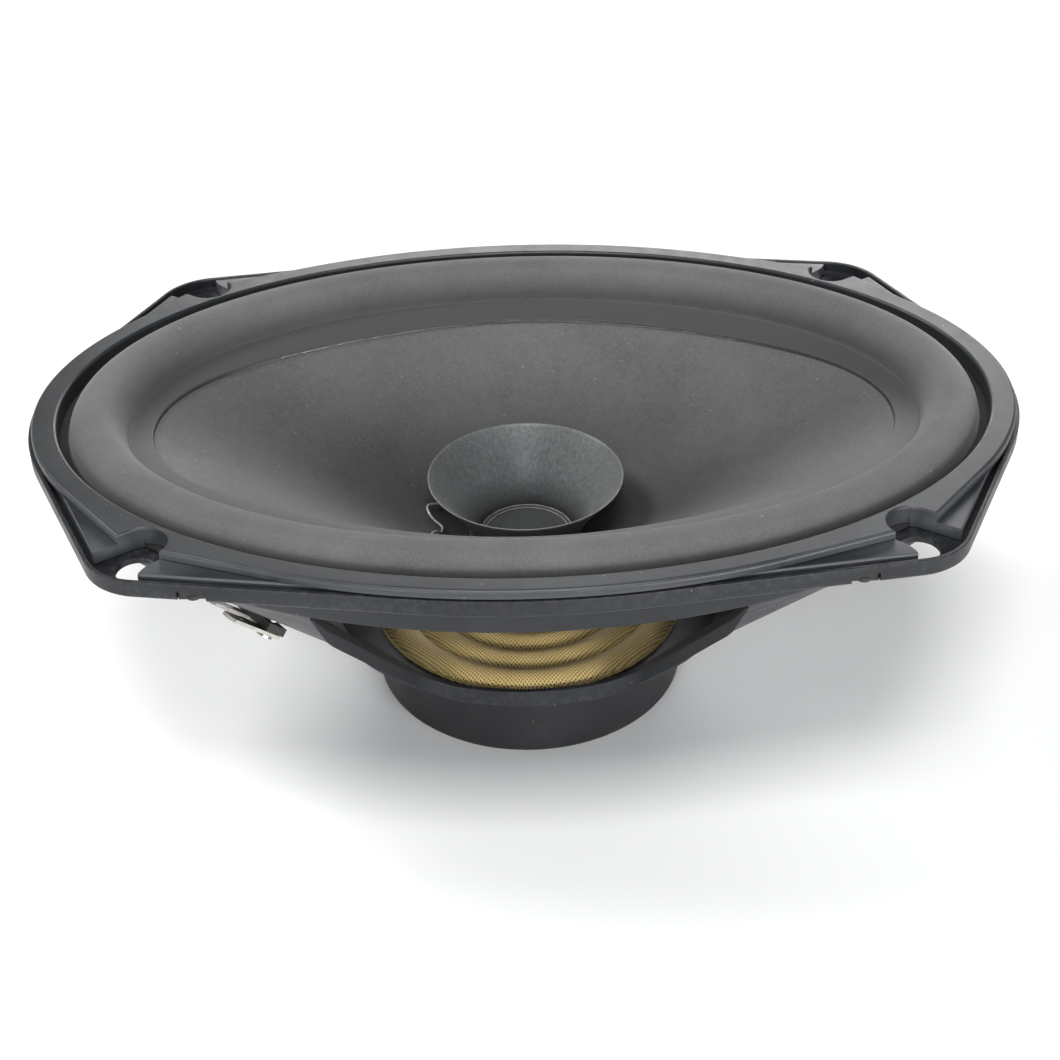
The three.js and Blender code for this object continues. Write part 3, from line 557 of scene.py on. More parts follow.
def painted_steel():
    s = Shader("basket_paint", specular=0.29)
    s.colour(s.mottled(28, 3, (0.012, 0.013, 0.015), (0.018, 0.0195, 0.022), (0.35, 0.65)))
    s.tint(s.between(s.noise(650, 7, 0.75), 0.5, 0.8, 0.0, 0.07), (0.085, 0.088, 0.09))
    s.tint(s.specks(420, 0.1, 0.12), (0.26, 0.26, 0.25), 0.6)
    worn = s.math("MULTIPLY", s.edges(), s.between(s.noise(700, 5), 0.45, 0.62))
    s.tint(worn, (0.13, 0.135, 0.14), 0.2)
    s.uneven(160, 5, 0.34, 0.48)
    s.bump((s.noise(1500, 3), 0.05, 0.35), (s.noise(240, 2), 0.1, 0.15))


def trim_plastic():
    s = Shader("trim_plastic", specular=0.45)
    s.colour(s.mottled(22, 4, (0.016, 0.0175, 0.02), (0.026, 0.028, 0.031)))
    scuffed = s.between(s.noise(110, 8, 0.75, distortion=0.6), 0.55, 0.78, 0.0, 0.3)
    s.tint(scuffed, (0.085, 0.09, 0.096))
    s.tint(s.specks(520, 0.1, 0.1), (0.36, 0.37, 0.37), 0.8)
    # Painted highlight: lighter colour along the sharp edges, where light catches them.
    s.tint(s.edges(), (0.12, 0.125, 0.13), 0.35)
    scratched = s.noise(700, 2, 0.5, s.squeezed((1.0, 0.04, 1.0)))
    s.uneven(240, 6, 0.32, 0.46, (0.25, 0.75))
    s.bump((s.noise(2200, 2), 0.03, 0.3), (scratched, 0.03, 0.12), (s.noise(120, 2), 0.1, 0.1))


def surround_foam():
    """Pale on the roll's crest, with painted shade darkening its flanks, smooth on the lip, and painted
    black shade in the gap at its outer edge.
    """
    s = Shader("surround_foam", roughness=0.85, specular=0.3, sheen=0.2)
    s.colour(s.mottled(36, 5, (0.058, 0.059, 0.059), (0.094, 0.095, 0.092), grain=0.65))
    s.tint(s.between(s.noise(2400, 3, 0.7), 0.35, 0.65), (0.16, 0.16, 0.155), 0.35)
    s.tint(s.specks(300, 0.09, 0.1), (0.34, 0.34, 0.32), 0.6)
    x, y, z = s.position()
    # Painted shade: darker down the roll's flanks towards its foot.
    flank_shade = s.between(z, (ROLL_FOOT_Z + 2.2) * MM, (ROLL_FOOT_Z + 7.5) * MM, 0.62, 0.0)
    s.tint(flank_shade, (0.022, 0.023, 0.024))
    lip = s.between(z, (ROLL_FOOT_Z + 0.9) * MM, (ROLL_FOOT_Z + 0.1) * MM)
    s.tint(lip, (0.042, 0.042, 0.042), 0.8)
    # Painted shade: near black in the gap between the roll's outer edge and the trim ring.
    across = s.math("DIVIDE", x, (ROLL_OUTER + OVAL) * MM)
    along = s.math("DIVIDE", y, ROLL_OUTER * MM)
    oval = s.math("ADD", s.math("MULTIPLY", across, across), s.math("MULTIPLY", along, along))
    s.tint(s.between(oval, 0.99, 1.015), (0.01, 0.01, 0.011))
    soft = s.between(s.noise(300, 4), 0.3, 0.7, 0.72, 0.92)
    s.rough(s.between(lip, 0.0, 1.0, soft, 0.5))
    s.bump((s.noise(2600, 3, 0.7), 0.06, 0.5), (s.noise(180, 3), 0.2, 0.18))


def pulp(name, dark, light, grain_depth, speck_share, roughness, sheen=0.12):
    """Pressed paper: fibres of a few sizes, pale specks and a soft grain."""
    s = Shader(name, specular=0.3, sheen=sheen)
    s.colour(s.mottled(40, 5, dark, light, grain=0.65))
    fibres = s.between(s.noise(900, 5, 0.75, distortion=1.5), 0.4, 0.68)
    s.tint(fibres, tuple(1.5 * channel + 0.01 for channel in light), 0.45)
    spots = s.math("MAXIMUM", s.specks(380, 0.1, speck_share), s.specks(1100, 0.14, speck_share * 1.5))
    s.tint(spots, (0.3, 0.3, 0.285), 0.6)
    s.uneven(500, 4, *roughness)
    s.bump((s.noise(1600, 5, 0.7, distortion=1.0), grain_depth, 0.6), (s.noise(220, 3), 0.15, 0.2))
    return s


def painted_shade_below(s, low, high, depth):
    """Paints shade onto a finish towards the bottom of its piece, between two heights in millimetres."""
    s.tint(s.between(s.position()[2], low * MM, high * MM, depth, 0.0), (0.006, 0.006, 0.0065))


def cone_paper():
    paper = pulp("cone_paper", (0.052, 0.054, 0.053), (0.08, 0.081, 0.078), 0.09, 0.14, (0.5, 0.62))
    # Painted shade: darker towards the neck, under the whizzer.
    painted_shade_below(paper, 38, 62, 0.75)


def whizzer_paper():
    """Lighter paper with upright streaks, painted shade darkening its foot, and pale where its top edge
    is cut.
    """
    s = pulp("whizzer_paper", (0.1, 0.104, 0.106), (0.16, 0.166, 0.168), 0.05, 0.08, (0.3, 0.4), 0.05)
    # Painted shade: darker at the foot of the horn.
    painted_shade_below(s, 38.5, 47, 0.85)
    streaks = s.between(s.noise(1300, 4, 0.65, s.squeezed((1.0, 1.0, 0.07))), 0.38, 0.66, 0.0, 0.4)
    s.tint(streaks, (0.04, 0.041, 0.042))
    cut_edge = s.between(s.position()[2], 56.18 * MM, 56.3 * MM)
    s.tint(cut_edge, (0.17, 0.175, 0.165), 0.35)


def dust_cap_paper():
    pulp("dust_cap_paper", (0.022, 0.024, 0.025), (0.038, 0.04, 0.041), 0.05, 0.1, (0.55, 0.75))


def woven_cloth(pitch=0.66):
    """Resin-stiffened cloth, woven on the slant, with dark holes between its threads."""
    s = Shader("spider_cloth", specular=0.35, sheen=0.2)
    x, y, _ = s.position()
    turn = math.pi / (pitch * MM) / math.sqrt(2)
    threads = []
    for operation in ("ADD", "SUBTRACT"):
        wobble = s.math("MULTIPLY", s.math("SUBTRACT", s.noise(140, 2), 0.5), 0.9)
        angle = s.math("MULTIPLY_ADD", s.math(operation, x, y), turn, wobble)
        threads.append((s.math("ABSOLUTE", s.math("SINE", angle)), s.math("COSINE", angle)))
    (one, one_over), (two, two_over) = threads
    over = s.between(s.math("MULTIPLY", one_over, two_over), -0.25, 0.25)
    height = s.math("MAXIMUM", s.math("MULTIPLY", one, s.between(over, 0, 1, 0.62, 1.0)),
                    s.math("MULTIPLY", two, s.between(over, 0, 1, 1.0, 0.62)))
    gold = s.mottled(60, 4, (0.55, 0.39, 0.135), (0.71, 0.52, 0.2))
    fibre = s.math("MULTIPLY", s.between(s.noise(3000, 3, 0.7), 0.35, 0.65), 0.25)
    gold = s.blend(fibre, gold, (0.78, 0.62, 0.32))
    s.colour(s.blend(s.between(height, 0.4, 0.72), (0.08, 0.05, 0.016), gold))
    s.rough(s.between(height, 0.3, 1.0, 0.85, 0.58))
    s.bump((height, 0.16, 0.8), (s.noise(2600, 3), 0.03, 0.3))


def boot_rubber():
    s = Shader("boot_rubber", specular=0.3)
    s.colour(s.mottled(45, 4, (0.011, 0.0115, 0.0125), (0.017, 0.0175, 0.019)))
    s.tint(s.between(s.noise(120, 7, 0.75), 0.55, 0.8, 0.0, 0.4), (0.06, 0.06, 0.06))
    s.tint(s.specks(360, 0.08, 0.1), (0.25, 0.25, 0.25), 0.5)
    s.uneven(90, 5, 0.4, 0.6)
    s.bump((s.noise(1300, 3), 0.04, 0.35), (s.noise(60, 2), 0.5, 0.15))


def dull_metal(name, dark, light, stain):
    """Plated metal with brushed lines and a few stains."""
    s = Shader(name, metallic=1.0)
    s.colour(s.mottled(200, 4, dark, light))
    s.tint(s.between(s.noise(420, 5, 0.7), 0.56, 0.72, 0.0, 0.7), stain)
    brushed = s.noise(900, 2, 0.5, s.squeezed((0.15, 1.0, 1.0)))
    s.rough(s.between(brushed, 0.3, 0.7, 0.26, 0.46))
    s.bump((brushed, 0.03, 0.3))


def wound_copper(wire=0.22):
    """Round enamelled wire wound side by side, so its turns show as fine rings, with painted shade in the
    grooves between them.
    """
    s = Shader("coil_copper", metallic=0.9, coat=0.4)
    turns = s.math("ABSOLUTE", s.math("SINE", s.math("MULTIPLY", s.position()[2], math.pi / (wire * MM))))
    s.colour(s.blend(s.between(turns, 0.1, 0.7), (0.07, 0.02, 0.006), (0.42, 0.13, 0.035)))
    s.uneven(800, 3, 0.26, 0.4)
    s.bump((turns, 0.08, 0.8))


def plain(name, colour, roughness, bump, **settings):
    """A finish of mottled colour, uneven roughness and one bump, each as its noise and its limits."""
    s = Shader(name, **settings)
    s.colour(s.mottled(*colour))
    s.uneven(*roughness)
    scale, detail, depth, strength = bump
    s.bump((s.noise(scale, detail), depth, strength))


painted_steel()
trim_plastic()
surround_foam()
cone_paper()
whizzer_paper()
dust_cap_paper()
woven_cloth()
boot_rubber()
wound_copper()
dull_metal("terminal_brass", (0.36, 0.35, 0.32), (0.52, 0.5, 0.46), (0.14, 0.12, 0.1))
dull_metal("tinsel_braid", (0.4, 0.37, 0.3), (0.58, 0.55, 0.47), (0.22, 0.16, 0.1))
plain("ferrite", (300, 6, (0.02, 0.02, 0.022), (0.045, 0.045, 0.047), (0.35, 0.65), 0.7),
      (700, 4, 0.55, 0.8), (900, 5, 0.08, 0.5), specular=0.4)
plain("plated_steel", (150, 5, (0.42, 0.42, 0.43), (0.56, 0.56, 0.55)),
      (500, 5, 0.3, 0.5, (0.3, 0.7), 0.7), (1800, 3, 0.03, 0.3), metallic=1.0)
plain("terminal_phenolic", (600, 5, (0.011, 0.01, 0.009), (0.026, 0.022, 0.019)),
      (350, 4, 0.45, 0.65), (1500, 3, 0.04, 0.3), specular=0.45)
plain("former_film", (180, 4, (0.13, 0.05, 0.01), (0.26, 0.11, 0.025)),
      (400, 4, 0.28, 0.42), (260, 2, 0.08, 0.2), coat=0.3)
plain("lead_enamel", (700, 4, (0.3, 0.29, 0.26), (0.5, 0.49, 0.45)),
      (900, 3, 0.3, 0.45), (2500, 2, 0.03, 0.3), metallic=0.3, specular=0.6)
plain("black_glue", (200, 4, (0.013, 0.013, 0.014), (0.03, 0.03, 0.031)),
      (500, 4, 0.25, 0.5), (350, 3, 0.3, 0.4))
plain("bead_glue", (500, 5, (0.09, 0.09, 0.088), (0.19, 0.19, 0.185)),
      (700, 4, 0.35, 0.6), (900, 3, 0.08, 0.4))


def dress(shape, finish):
    """Gives a piece one material."""
    shape.data.materials.clear()
    shape.data.materials.append(finishes[finish])


def place_piece(shape, body, finish, *nodes, slot=None):
    """Dresses a piece, makes it ride on a body, and hides the CAD nodes that it stands for."""
    dress(shape, finish)
    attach(shape, body)
    if nodes:
        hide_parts(*nodes)


# ---- Places on the cone and the basket wall ----

def cone_line(share):
    """The middle of the cone's paper: share is 0 at the neck and 1 at the surround's lip."""
    return (
        NECK[0] + (LIP_INNER - NECK[0]) * share,
        NECK[1] + (CONE_EDGE_Z - NECK[1]) * share ** CONE_FLARE,
        LIP_STRETCH * share,
        LIP_PINCH * share,
    )


def oval_point(degrees, r, z, stretch, pinch=0.0):
    """Where a profile point of a turned piece is at an angle."""
    turn = math.radians(degrees)
    half_y = r * (1 - pinch * math.sin(2 * turn) ** 2)
    return np.array([(r + stretch) * math.cos(turn), half_y * math.sin(turn), z])


def off_cone(share, angle, off):
    """A point that stands off the cone's paper by off."""
    def at(where, degrees):
        return oval_point(degrees, *cone_line(where))
    outward = at(share + 0.001, angle) - at(share - 0.001, angle)
    around = at(share, angle + 0.1) - at(share, angle - 0.1)
    normal = np.cross(outward, around)
    return at(share, angle) + normal / np.linalg.norm(normal) * off


def wall_mix(share):
    return [a + (b - a) * share for a, b in zip(WALL_TOP, WALL_BOTTOM)]


def wall_frame(angle, share):
    """A 4 x 4 matrix on the outside of the basket wall: X down the wall, Z standing off it."""
    def at(degrees, along):
        return oval_point(degrees, *wall_mix(along))
    point = at(angle, share)
    down = at(angle, share + 0.001) - at(angle, share - 0.001)
    down /= np.linalg.norm(down)
    normal = np.cross(at(angle + 0.1, share) - at(angle - 0.1, share), down)
    normal /= np.linalg.norm(normal) * (1 if normal[:2] @ point[:2] > 0 else -1)
    across = np.cross(normal, down)
    matrix = np.eye(4)
    matrix[:3, 0], matrix[:3, 1], matrix[:3, 2], matrix[:3, 3] = down, across, normal, point
    return matrix


TERMINAL = wall_frame(TERMINAL_ANGLE, TERMINAL_SHARE)


def on_terminal(point):
    return (TERMINAL @ [*point, 1.0])[:3]


# ---- Leads ----

POLES = {
    "positive": {"side": 1, "share": 0.25, "angle": -127,
                 "wire": [(0.05, -98), (0.1, -105), (0.17, -114)]},
    "negative": {"side": -1, "share": 0.2, "angle": -147,
                 "wire": [(0.05, 140), (0.11, 152), (0.166, 167), (0.155, 175), (0.134, 182.5),
                          (0.114, 188.3), (0.13, 200)]},
}


def tinsel_lead(pole, facts):
    """The braided lead under the cone, from its eyelet to the inner end of its terminal rivet."""
    start = off_cone(facts["share"], facts["angle"], -EYELET_HALF - 0.3 - LEAD_RADIUS)
    end = on_terminal((0, facts["side"] * TERMINAL_SPACING / 2, RIVET_INNER_END - 0.3 - LEAD_RADIUS))
    sags = ((0.1, 1.6), (0.35, 4.0), (0.62, 4.6), (0.88, 2.4))
    points = [start, *(start + (end - start) * share - (0, 0, drop) for share, drop in sags), end]
    lead, path = tube(f"tinsel_lead_{pole}_braid", points, LEAD_RADIUS,
                      sides=8, steps=140, strands=5, twists=13)
    dress(lead, "tinsel_braid")
    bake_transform(lead)
    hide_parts(f"tinsel_lead_{pole}")


for pole, facts in POLES.items():
    tinsel_lead(pole, facts)


# ---- Basket ----

def stacked(name, halves, steps):
    """A solid through one wrapped outline at many levels, each given as (inset, z)."""
    return lofted(name, [(wrapped(halves, inset), z) for inset, z in steps])


def make_pan():
    """The flange with its upright rim, as one pressed tray."""
    tray = stacked("basket_shell", FLANGE, (
        (0.9, FLANGE_BOTTOM), (0.45, FLANGE_BOTTOM + 0.12), (0.12, FLANGE_BOTTOM + 0.45),
        (0, FLANGE_BOTTOM + 0.9), (0, RIM_TOP - 0.35), (0.1, RIM_TOP - 0.1), (0.35, RIM_TOP)))
    combine(tray, stacked("cutter", FLANGE, (
        (RIM_THICKNESS + 0.9, FLANGE_TOP), (RIM_THICKNESS + 0.3, FLANGE_TOP + 0.3),
        (RIM_THICKNESS, FLANGE_TOP + 0.9), (RIM_THICKNESS, RIM_TOP - 0.3),
        (RIM_THICKNESS - 0.25, RIM_TOP), (RIM_THICKNESS - 0.25, RIM_TOP + 1))), "DIFFERENCE")
    return combine(tray, plug(FLANGE_OPENING, FLANGE_BOTTOM - 1, RIM_TOP, OVAL), "DIFFERENCE")


def make_wall():
    """The sloping wall, the lip over the magnet and the floor, as one turned shell."""
    inner_lip = WALL_BOTTOM[0] - WALL_THICKNESS
    skirt_inner = (SKIRT_TOP[0] - WALL_THICKNESS, WALL_TOP[0] - WALL_THICKNESS)
    corners = [
        (SKIRT_TOP[0] + 1.6, FLANGE_TOP - 0.5, SKIRT_TOP[2], 0),
        (SKIRT_TOP[0] + 1.6, FLANGE_BOTTOM - 0.01, SKIRT_TOP[2], 0),
        (SKIRT_TOP[0] + 0.05, FLANGE_BOTTOM - 0.01, SKIRT_TOP[2], 1.4),
        (*WALL_TOP, 2.5),
        (*WALL_BOTTOM, 1.2),
        (*LIP_BOTTOM, 0.9),
        (FLOOR_OPENING, LIP_BOTTOM[1], 0, 0.3),
        (FLOOR_OPENING, FLOOR_TOP, 0, 0.3),
        (36.0, FLOOR_TOP, 0, 0.4),
        (36.5, SEAT_Z, 0, 0.4),
        (inner_lip, SEAT_Z, 0, 0),
        (inner_lip, SEAT_Z + 0.5, 0, 0),
        (inner_lip, SEAT_Z + 0.9, WALL_BOTTOM[2] - 0.4, 0),
        (skirt_inner[1], WALL_TOP[1], WALL_TOP[2], 2.0),
        (skirt_inner[0], SKIRT_TOP[1], SKIRT_TOP[2], 0),
        (skirt_inner[0], FLANGE_TOP - 0.5, SKIRT_TOP[2], 0),
    ]
    return turned("wall", filleted(corners), sharp=30)


def window_side():
    """The right half of a window's edge, from the middle of its bottom up to its top corner."""
    slope = (WINDOW_TOP[0] - WINDOW_BOTTOM[0]) / (WINDOW_TOP[1] - WINDOW_BOTTOM[1])
    low = np.array(WINDOW_BOTTOM, float)
    start = low - (WINDOW_CORNER, 0)
    end = low + (slope * WINDOW_CORNER, WINDOW_CORNER)
    curve = bend(start, low, end, np.linspace(0, 1, 14))
    straight = [end + (np.array(WINDOW_TOP) - end) * t for t in np.linspace(0, 1, 20)[1:]]
    return np.array([(0, low[1]), (4, low[1]), *curve, *straight])


def make_window(sign):
    """The block that cuts a window out of the front or the back of the wall."""
    top = [(WINDOW_TOP[0] - 0.6, WINDOW_TOP[1] + 0.03), (WINDOW_TOP[0] - 2, WINDOW_TOP[1] + 0.05)]
    right = np.array([*window_side()[1:], *top])
    ring = np.concatenate([right, (right * (-1, 1))[::-1]])
    count = len(ring)
    vertices = [(x, y * sign, z) for y in WINDOW_REACH for x, z in ring]
    faces = [list(range(count)), list(range(count, 2 * count)), *band_of_faces(0, count, count)]
    return piece("window", vertices, faces)


def on_wall(x, z):
    """How far out the wall's outside is at x and z on the front, and its outward direction in plan."""
    r, _, stretch = wall_mix((WALL_TOP[1] - z) / (WALL_TOP[1] - WALL_BOTTOM[1]))
    y = r * math.sqrt(max(0.0, 1 - (x / (r + stretch)) ** 2))
    normal = np.array([x / (r + stretch) ** 2, y / r ** 2])
    return y, normal / np.hypot(*normal)


def make_rail(side):
    """The upright flange round a window, from its left top corner along its bottom to its right one."""
    slope = (WALL_TOP[0] - WALL_BOTTOM[0]) / (WALL_TOP[1] - WALL_BOTTOM[1])
    right = window_side()
    edge = np.concatenate([(right * (-1, 1))[:0:-1], right])
    vertices, faces = [], []
    for i, (x, z) in enumerate(edge):
        z = min(z, WALL_TOP[1])
        y, normal = on_wall(x, z)
        share = (z - WALL_BOTTOM[1]) / (WALL_TOP[1] - WALL_BOTTOM[1])
        proud = 0.15 + 1.05 * min(1.0, 2.2 * share) * min(1.0, 8 * (1 - share))
        height = RAIL_HEIGHT + 0.55 * max(0.0, 1 - 6 * share)
        height *= 0.15 + 0.85 * min(1.0, 7 * (1 - share))
        section = [(-0.9, 0.12), (proud - 0.35, 0.12), (proud - 0.1, 0.02), (proud, -0.23),
                   (proud, 0.25 - height), (proud - 0.1, 0.05 - height), (proud - 0.35, -height),
                   (-0.9 - height * slope, -height)]
        for off, drop in section:
            vertices.append((x + normal[0] * off, (y + normal[1] * off) * side, z + drop))
        if i:
            faces += band_of_faces((i - 1) * len(section), i * len(section), len(section))
    last = (len(edge) - 1) * len(section)
    faces += [list(range(len(section))), [last + k for k in range(len(section))]]
    return piece("rail", vertices, faces)


def make_screw_hole(sign_x, sign_y):
    x, y, radius = SCREW
    return plug(radius, HOLE_BOTTOM, HOLE_TOP, segments=48, centre=(sign_x * x, sign_y * y))


def make_peg_slot(sign_x, sign_y):
    low = (PEG[0] - PEG_SLOT_WIDTH / 2, PEG[1] - PEG_SLOT_BACK, FLANGE_BOTTOM - 1)
    high = (PEG[0] + PEG_SLOT_WIDTH / 2, PEG_SLOT_REACH, FLANGE_BOTTOM + PEG_SLOT_HEIGHT)
    return boxed_in_quadrant("slot", sign_x, sign_y, low, high)


def make_basket():
    basket = combine(make_wall(), make_pan(), "UNION")
    for sign in (-1, 1):
        combine(basket, make_window(sign), "DIFFERENCE")
        combine(basket, make_rail(sign), "UNION")
    holes = four(make_screw_hole) + four(make_peg_slot)
    for y, radius in TERMINAL_HOLES:
        hole = plug(radius, -4, 4, segments=32, centre=(0, y))
        hole.data.transform(metric(TERMINAL))
        holes.append(hole)
    combine(basket, joined("holes", holes), "DIFFERENCE", sharp=35)
    return flattened(basket)


def metric(matrix):
    """A millimetre matrix as a Blender matrix that moves metre meshes."""
    made = Matrix(np.asarray(matrix).tolist())
    made.translation = Vector(made.translation) * MM
    return made


# ---- Trim ring ----

def well_outline():
    """The well round a screw hole, where X and Y are positive, going round anticlockwise."""
    centre_x, centre_y, radius = NOTCH
    arc = [(centre_x + radius * math.cos(math.radians(a)), centre_y + radius * math.sin(math.radians(a)))
           for a in np.linspace(129, 303, 44)]
    side, far = (WELL_SIDE[0], WELL_OUTSIDE), (centre_x, WELL_OUTSIDE)
    outline = [*arc]
    for start, end, count in ((arc[-1], WELL_SIDE, 20), (WELL_SIDE, side, 6), (side, far, 6),
                              (far, (centre_x, WELL_BEND[1]), 8)):
        outline += [*np.linspace(start, end, count)[1:]]
    corner = np.array([centre_x, WELL_BEND[0]])
    outline += bend(outline[-1], corner, np.array(arc[0]), np.linspace(0, 1, 16)[1:-1])
    return np.array(outline)


def make_well(sign_x, sign_y):
    outline = in_quadrant(well_outline(), sign_x, sign_y)
    width, height = WELL_EDGE
    levels = [(outline, RING_BOTTOM - 1), (outline, RING_TOP - height)]
    for across, up in quarter_round(width, height, (25, 50, 75)):
        levels.append((grown(outline, across), RING_TOP - height + up))
    levels.append((grown(outline, 0.6), RING_TOP + 0.5))
    return lofted("well", levels)


def make_trim_ring():
    web = [(WEB_INSET + 0.2, RING_BOTTOM), (WEB_INSET, RING_BOTTOM + 0.2),
           (WEB_INSET, WEB_TOP - WEB_EDGE)]
    for across, up in quarter_round(WEB_EDGE, WEB_EDGE, (30, 60, 90)):
        web.append((WEB_INSET + across, WEB_TOP - WEB_EDGE + up))
    ring = stacked("trim_ring_moulding", FLANGE, web)
    band = [(0.25, WEB_TOP - 0.02), (0, WEB_TOP + 0.25), (0, RING_TOP - BAND_EDGE)]
    for across, up in quarter_round(BAND_EDGE, BAND_EDGE, (18, 36, 54, 72, 90)):
        band.append((across, RING_TOP - BAND_EDGE + up))
    combine(ring, stacked("band", BAND, band), "UNION")
    opening = [(0, RING_BOTTOM - 1), (RING_OPENING, RING_BOTTOM - 1, OVAL),
               (RING_OPENING, RING_TOP - OPENING_EDGE, OVAL)]
    for across, up in quarter_round(OPENING_EDGE, OPENING_EDGE, (20, 40, 60, 80)):
        opening.append((RING_OPENING + across, RING_TOP - OPENING_EDGE + up, OVAL))
    opening += [(RING_OPENING + OPENING_EDGE, RING_TOP + 1, OVAL), (0, RING_TOP + 1)]
    combine(ring, turned("opening", opening), "DIFFERENCE")
    combine(ring, plug(REBATE_RADIUS, RING_BOTTOM - 1, REBATE_TOP, OVAL), "DIFFERENCE")
    combine(ring, joined("wells", four(make_well)), "DIFFERENCE", sharp=35)
    return flattened(ring)


def make_peg(sign_x, sign_y):
    """A moulded peg of the trim ring, flattened over under the rim."""
    head = FLANGE_BOTTOM - 0.9
    profile = [(0, head), (1.0, head + 0.05), (1.6, head + 0.3), (1.95, head + 0.75), (1.95, head + 1.1),
               (1.7, head + 1.4), (PEG[2], head + 1.6), (PEG[2], WEB_TOP - 1.5), (0, WEB_TOP - 1.5)]
    return turned("peg", profile, 32, 30, (sign_x * PEG[0], sign_y * PEG[1]))


def make_peg_lug(sign_x, sign_y):
    """The short tongue behind a peg, which fills the slot in the basket's rim."""
    half = PEG_SLOT_WIDTH / 2 - 0.05
    low = (PEG[0] - half, PEG[1] - 2, FLANGE_BOTTOM - 0.4)
    high = (PEG[0] + half, PEG[1] + 1.4, WEB_TOP - 1.4)
    lug = boxed_in_quadrant("lug", sign_x, sign_y, low, high)
    bevel = lug.modifiers.new("bevel", "BEVEL")
    bevel.width = 0.25 * MM
    bevel.segments = 3
    return applied(lug)


# ---- Cone, surround and spider ----

def along_lip(r, lower=0.0):
    """A profile point of the surround's flat inner lip, or as far below it as the height given."""
    share = (r - LIP_INNER) / (ROLL_INNER - LIP_INNER)
    height = LIP_Z + (ROLL_FOOT_Z - LIP_Z) * share + lower
    return (r, height, LIP_STRETCH + (OVAL - LIP_STRETCH) * share, LIP_PINCH * (1 - share))


def make_cone():
    shares = np.concatenate([np.linspace(0, 0.15, 10)[:-1], np.linspace(0.15, 1, 34)])
    line = [cone_line(share) for share in shares]
    line += [along_lip(r, CONE_EDGE_Z - LIP_Z) for r in (52, 54, 56, 58.4)]
    return turned("cone_paper_shell", sheet(line, CONE_THICKNESS))


def make_surround():
    seat = SURROUND_SEAT_Z
    line = [(r, seat, OVAL) for r in (77.6, 76, 75, 74, 73.3)]
    line += [(ROLL_OUTER + 0.6, seat + 0.06, OVAL), (ROLL_OUTER + 0.2, seat + 0.35, OVAL)]
    middle, half = (ROLL_OUTER + ROLL_INNER) / 2, (ROLL_OUTER - ROLL_INNER) / 2
    for turn in np.linspace(0.12, math.pi - 0.1, 36):
        base = seat + (ROLL_FOOT_Z - seat) * turn / math.pi
        line.append((middle + half * math.cos(turn), base + ROLL_HEIGHT * math.sin(turn), OVAL))
    line += [(ROLL_INNER - 0.08, ROLL_FOOT_Z + 0.3, OVAL), (ROLL_INNER - 0.5, ROLL_FOOT_Z + 0.02, OVAL)]
    line += [along_lip(r) for r in (57.5, 55, 53, 51.4, 50.6, LIP_INNER)]
    return turned("surround_roll", sheet(line, SURROUND_THICKNESS), sharp=60)


def make_edge_line():
    """A dark line where the surround's lip ends on the cone."""
    step = ((0.02, -0.65), (0.02, 0.12), (-0.28, -0.12), (-0.42, -0.75))
    line = [(LIP_INNER + off, LIP_Z + up, LIP_STRETCH, LIP_PINCH) for off, up in step]
    return turned("lip_edge_dark_line", line)


def radial_blend(shape, low, high, oval):
    """Bakes a ring's place into its mesh, and works out for each point a share that is 1 inside radius
    low and 0 outside radius high.
    """
    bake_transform(shape)
    points = np.zeros(len(shape.data.vertices) * 3)
    shape.data.vertices.foreach_get("co", points)
    x, y, _ = (points.reshape(-1, 3) / MM).T
    radius = np.hypot(x, y)
    for _ in range(40):
        radius = radius + (1 - np.hypot(x / (radius + oval), y / radius)) * -radius * 0.7
    share = np.clip((high - radius) / (high - low), 0, 1)
    share = share * share * (3 - 2 * share)


def make_spider():
    base = SEAT_Z + 0.5
    line = [(39.4, base), (39.1, base)]
    for turn in np.linspace(0, SPIDER_ROLLS * math.pi, SPIDER_ROLLS * 22 + 1):
        height = SPIDER_HEIGHT * abs(math.sin(turn)) ** 0.62
        line.append((SPIDER_OUTER - SPIDER_PITCH * turn / math.pi, base + height))
    collar = ((16.8, 1.2), (16.0, 1.9), (14.8, 1.5), (14.0, 1.3), (13.3, 1.6), (13.0, 2.5))
    line += [(r, base + up) for r, up in collar]
    return turned("spider_corrugated", sheet(line, SPIDER_THICKNESS), 240, 60)


def make_whizzer():
    (r, z), (out, up) = WHIZZER_FOOT, WHIZZER_GROWTH
    line = [(r + out * u ** WHIZZER_FLARE, z + up * u) for u in np.linspace(0, 1, 30)]
    return turned("whizzer_paper_horn", sheet(line, WHIZZER_THICKNESS), 160, 60)


def make_dust_cap():
    profile = [(0, 39.7), (3, 39.68), (6, 39.6), (8.5, 39.4), (10, 39.15), (10.6, 39.1), (10.9, 39.35),
               (11.15, 39.6), (11.4, 39.55), (11.55, 39.3), (11.6, 38.8), (11.6, 36.6), (11.2, 36.6),
               (11.2, 38.6), (10.4, 38.7), (8.5, 38.95), (6, 39.15), (3, 39.25), (0, 39.3)]
    return turned("dust_cap_disc", profile, 128, 50)


def make_bead(radius, height, half):
    """A thin round bead of glue."""
    turns = np.linspace(0, 2 * math.pi, 12, endpoint=False)
    section = [(radius + half * math.cos(turn), height + half * math.sin(turn)) for turn in turns]
    return turned("bead", section, 128, 80)


def make_coil_wire(pole, facts):
    """Enamelled wire laid on the cone, from the neck to its eyelet."""
    points = [off_cone(share, angle, WIRE_OFF_CONE) for share, angle in facts["wire"]]
    end = off_cone(facts["share"], facts["angle"], EYELET_HALF + WIRE_OFF_EYELET)
    near = end + (points[-1] - end) * 3 / np.linalg.norm(points[-1] - end) + (0, 0, 0.5)
    wire, _ = tube(f"coil_wire_{pole}_enamelled", [*points, near, end], WIRE_RADIUS, sides=12, steps=90)
    return wire


# ---- Magnet boot ----

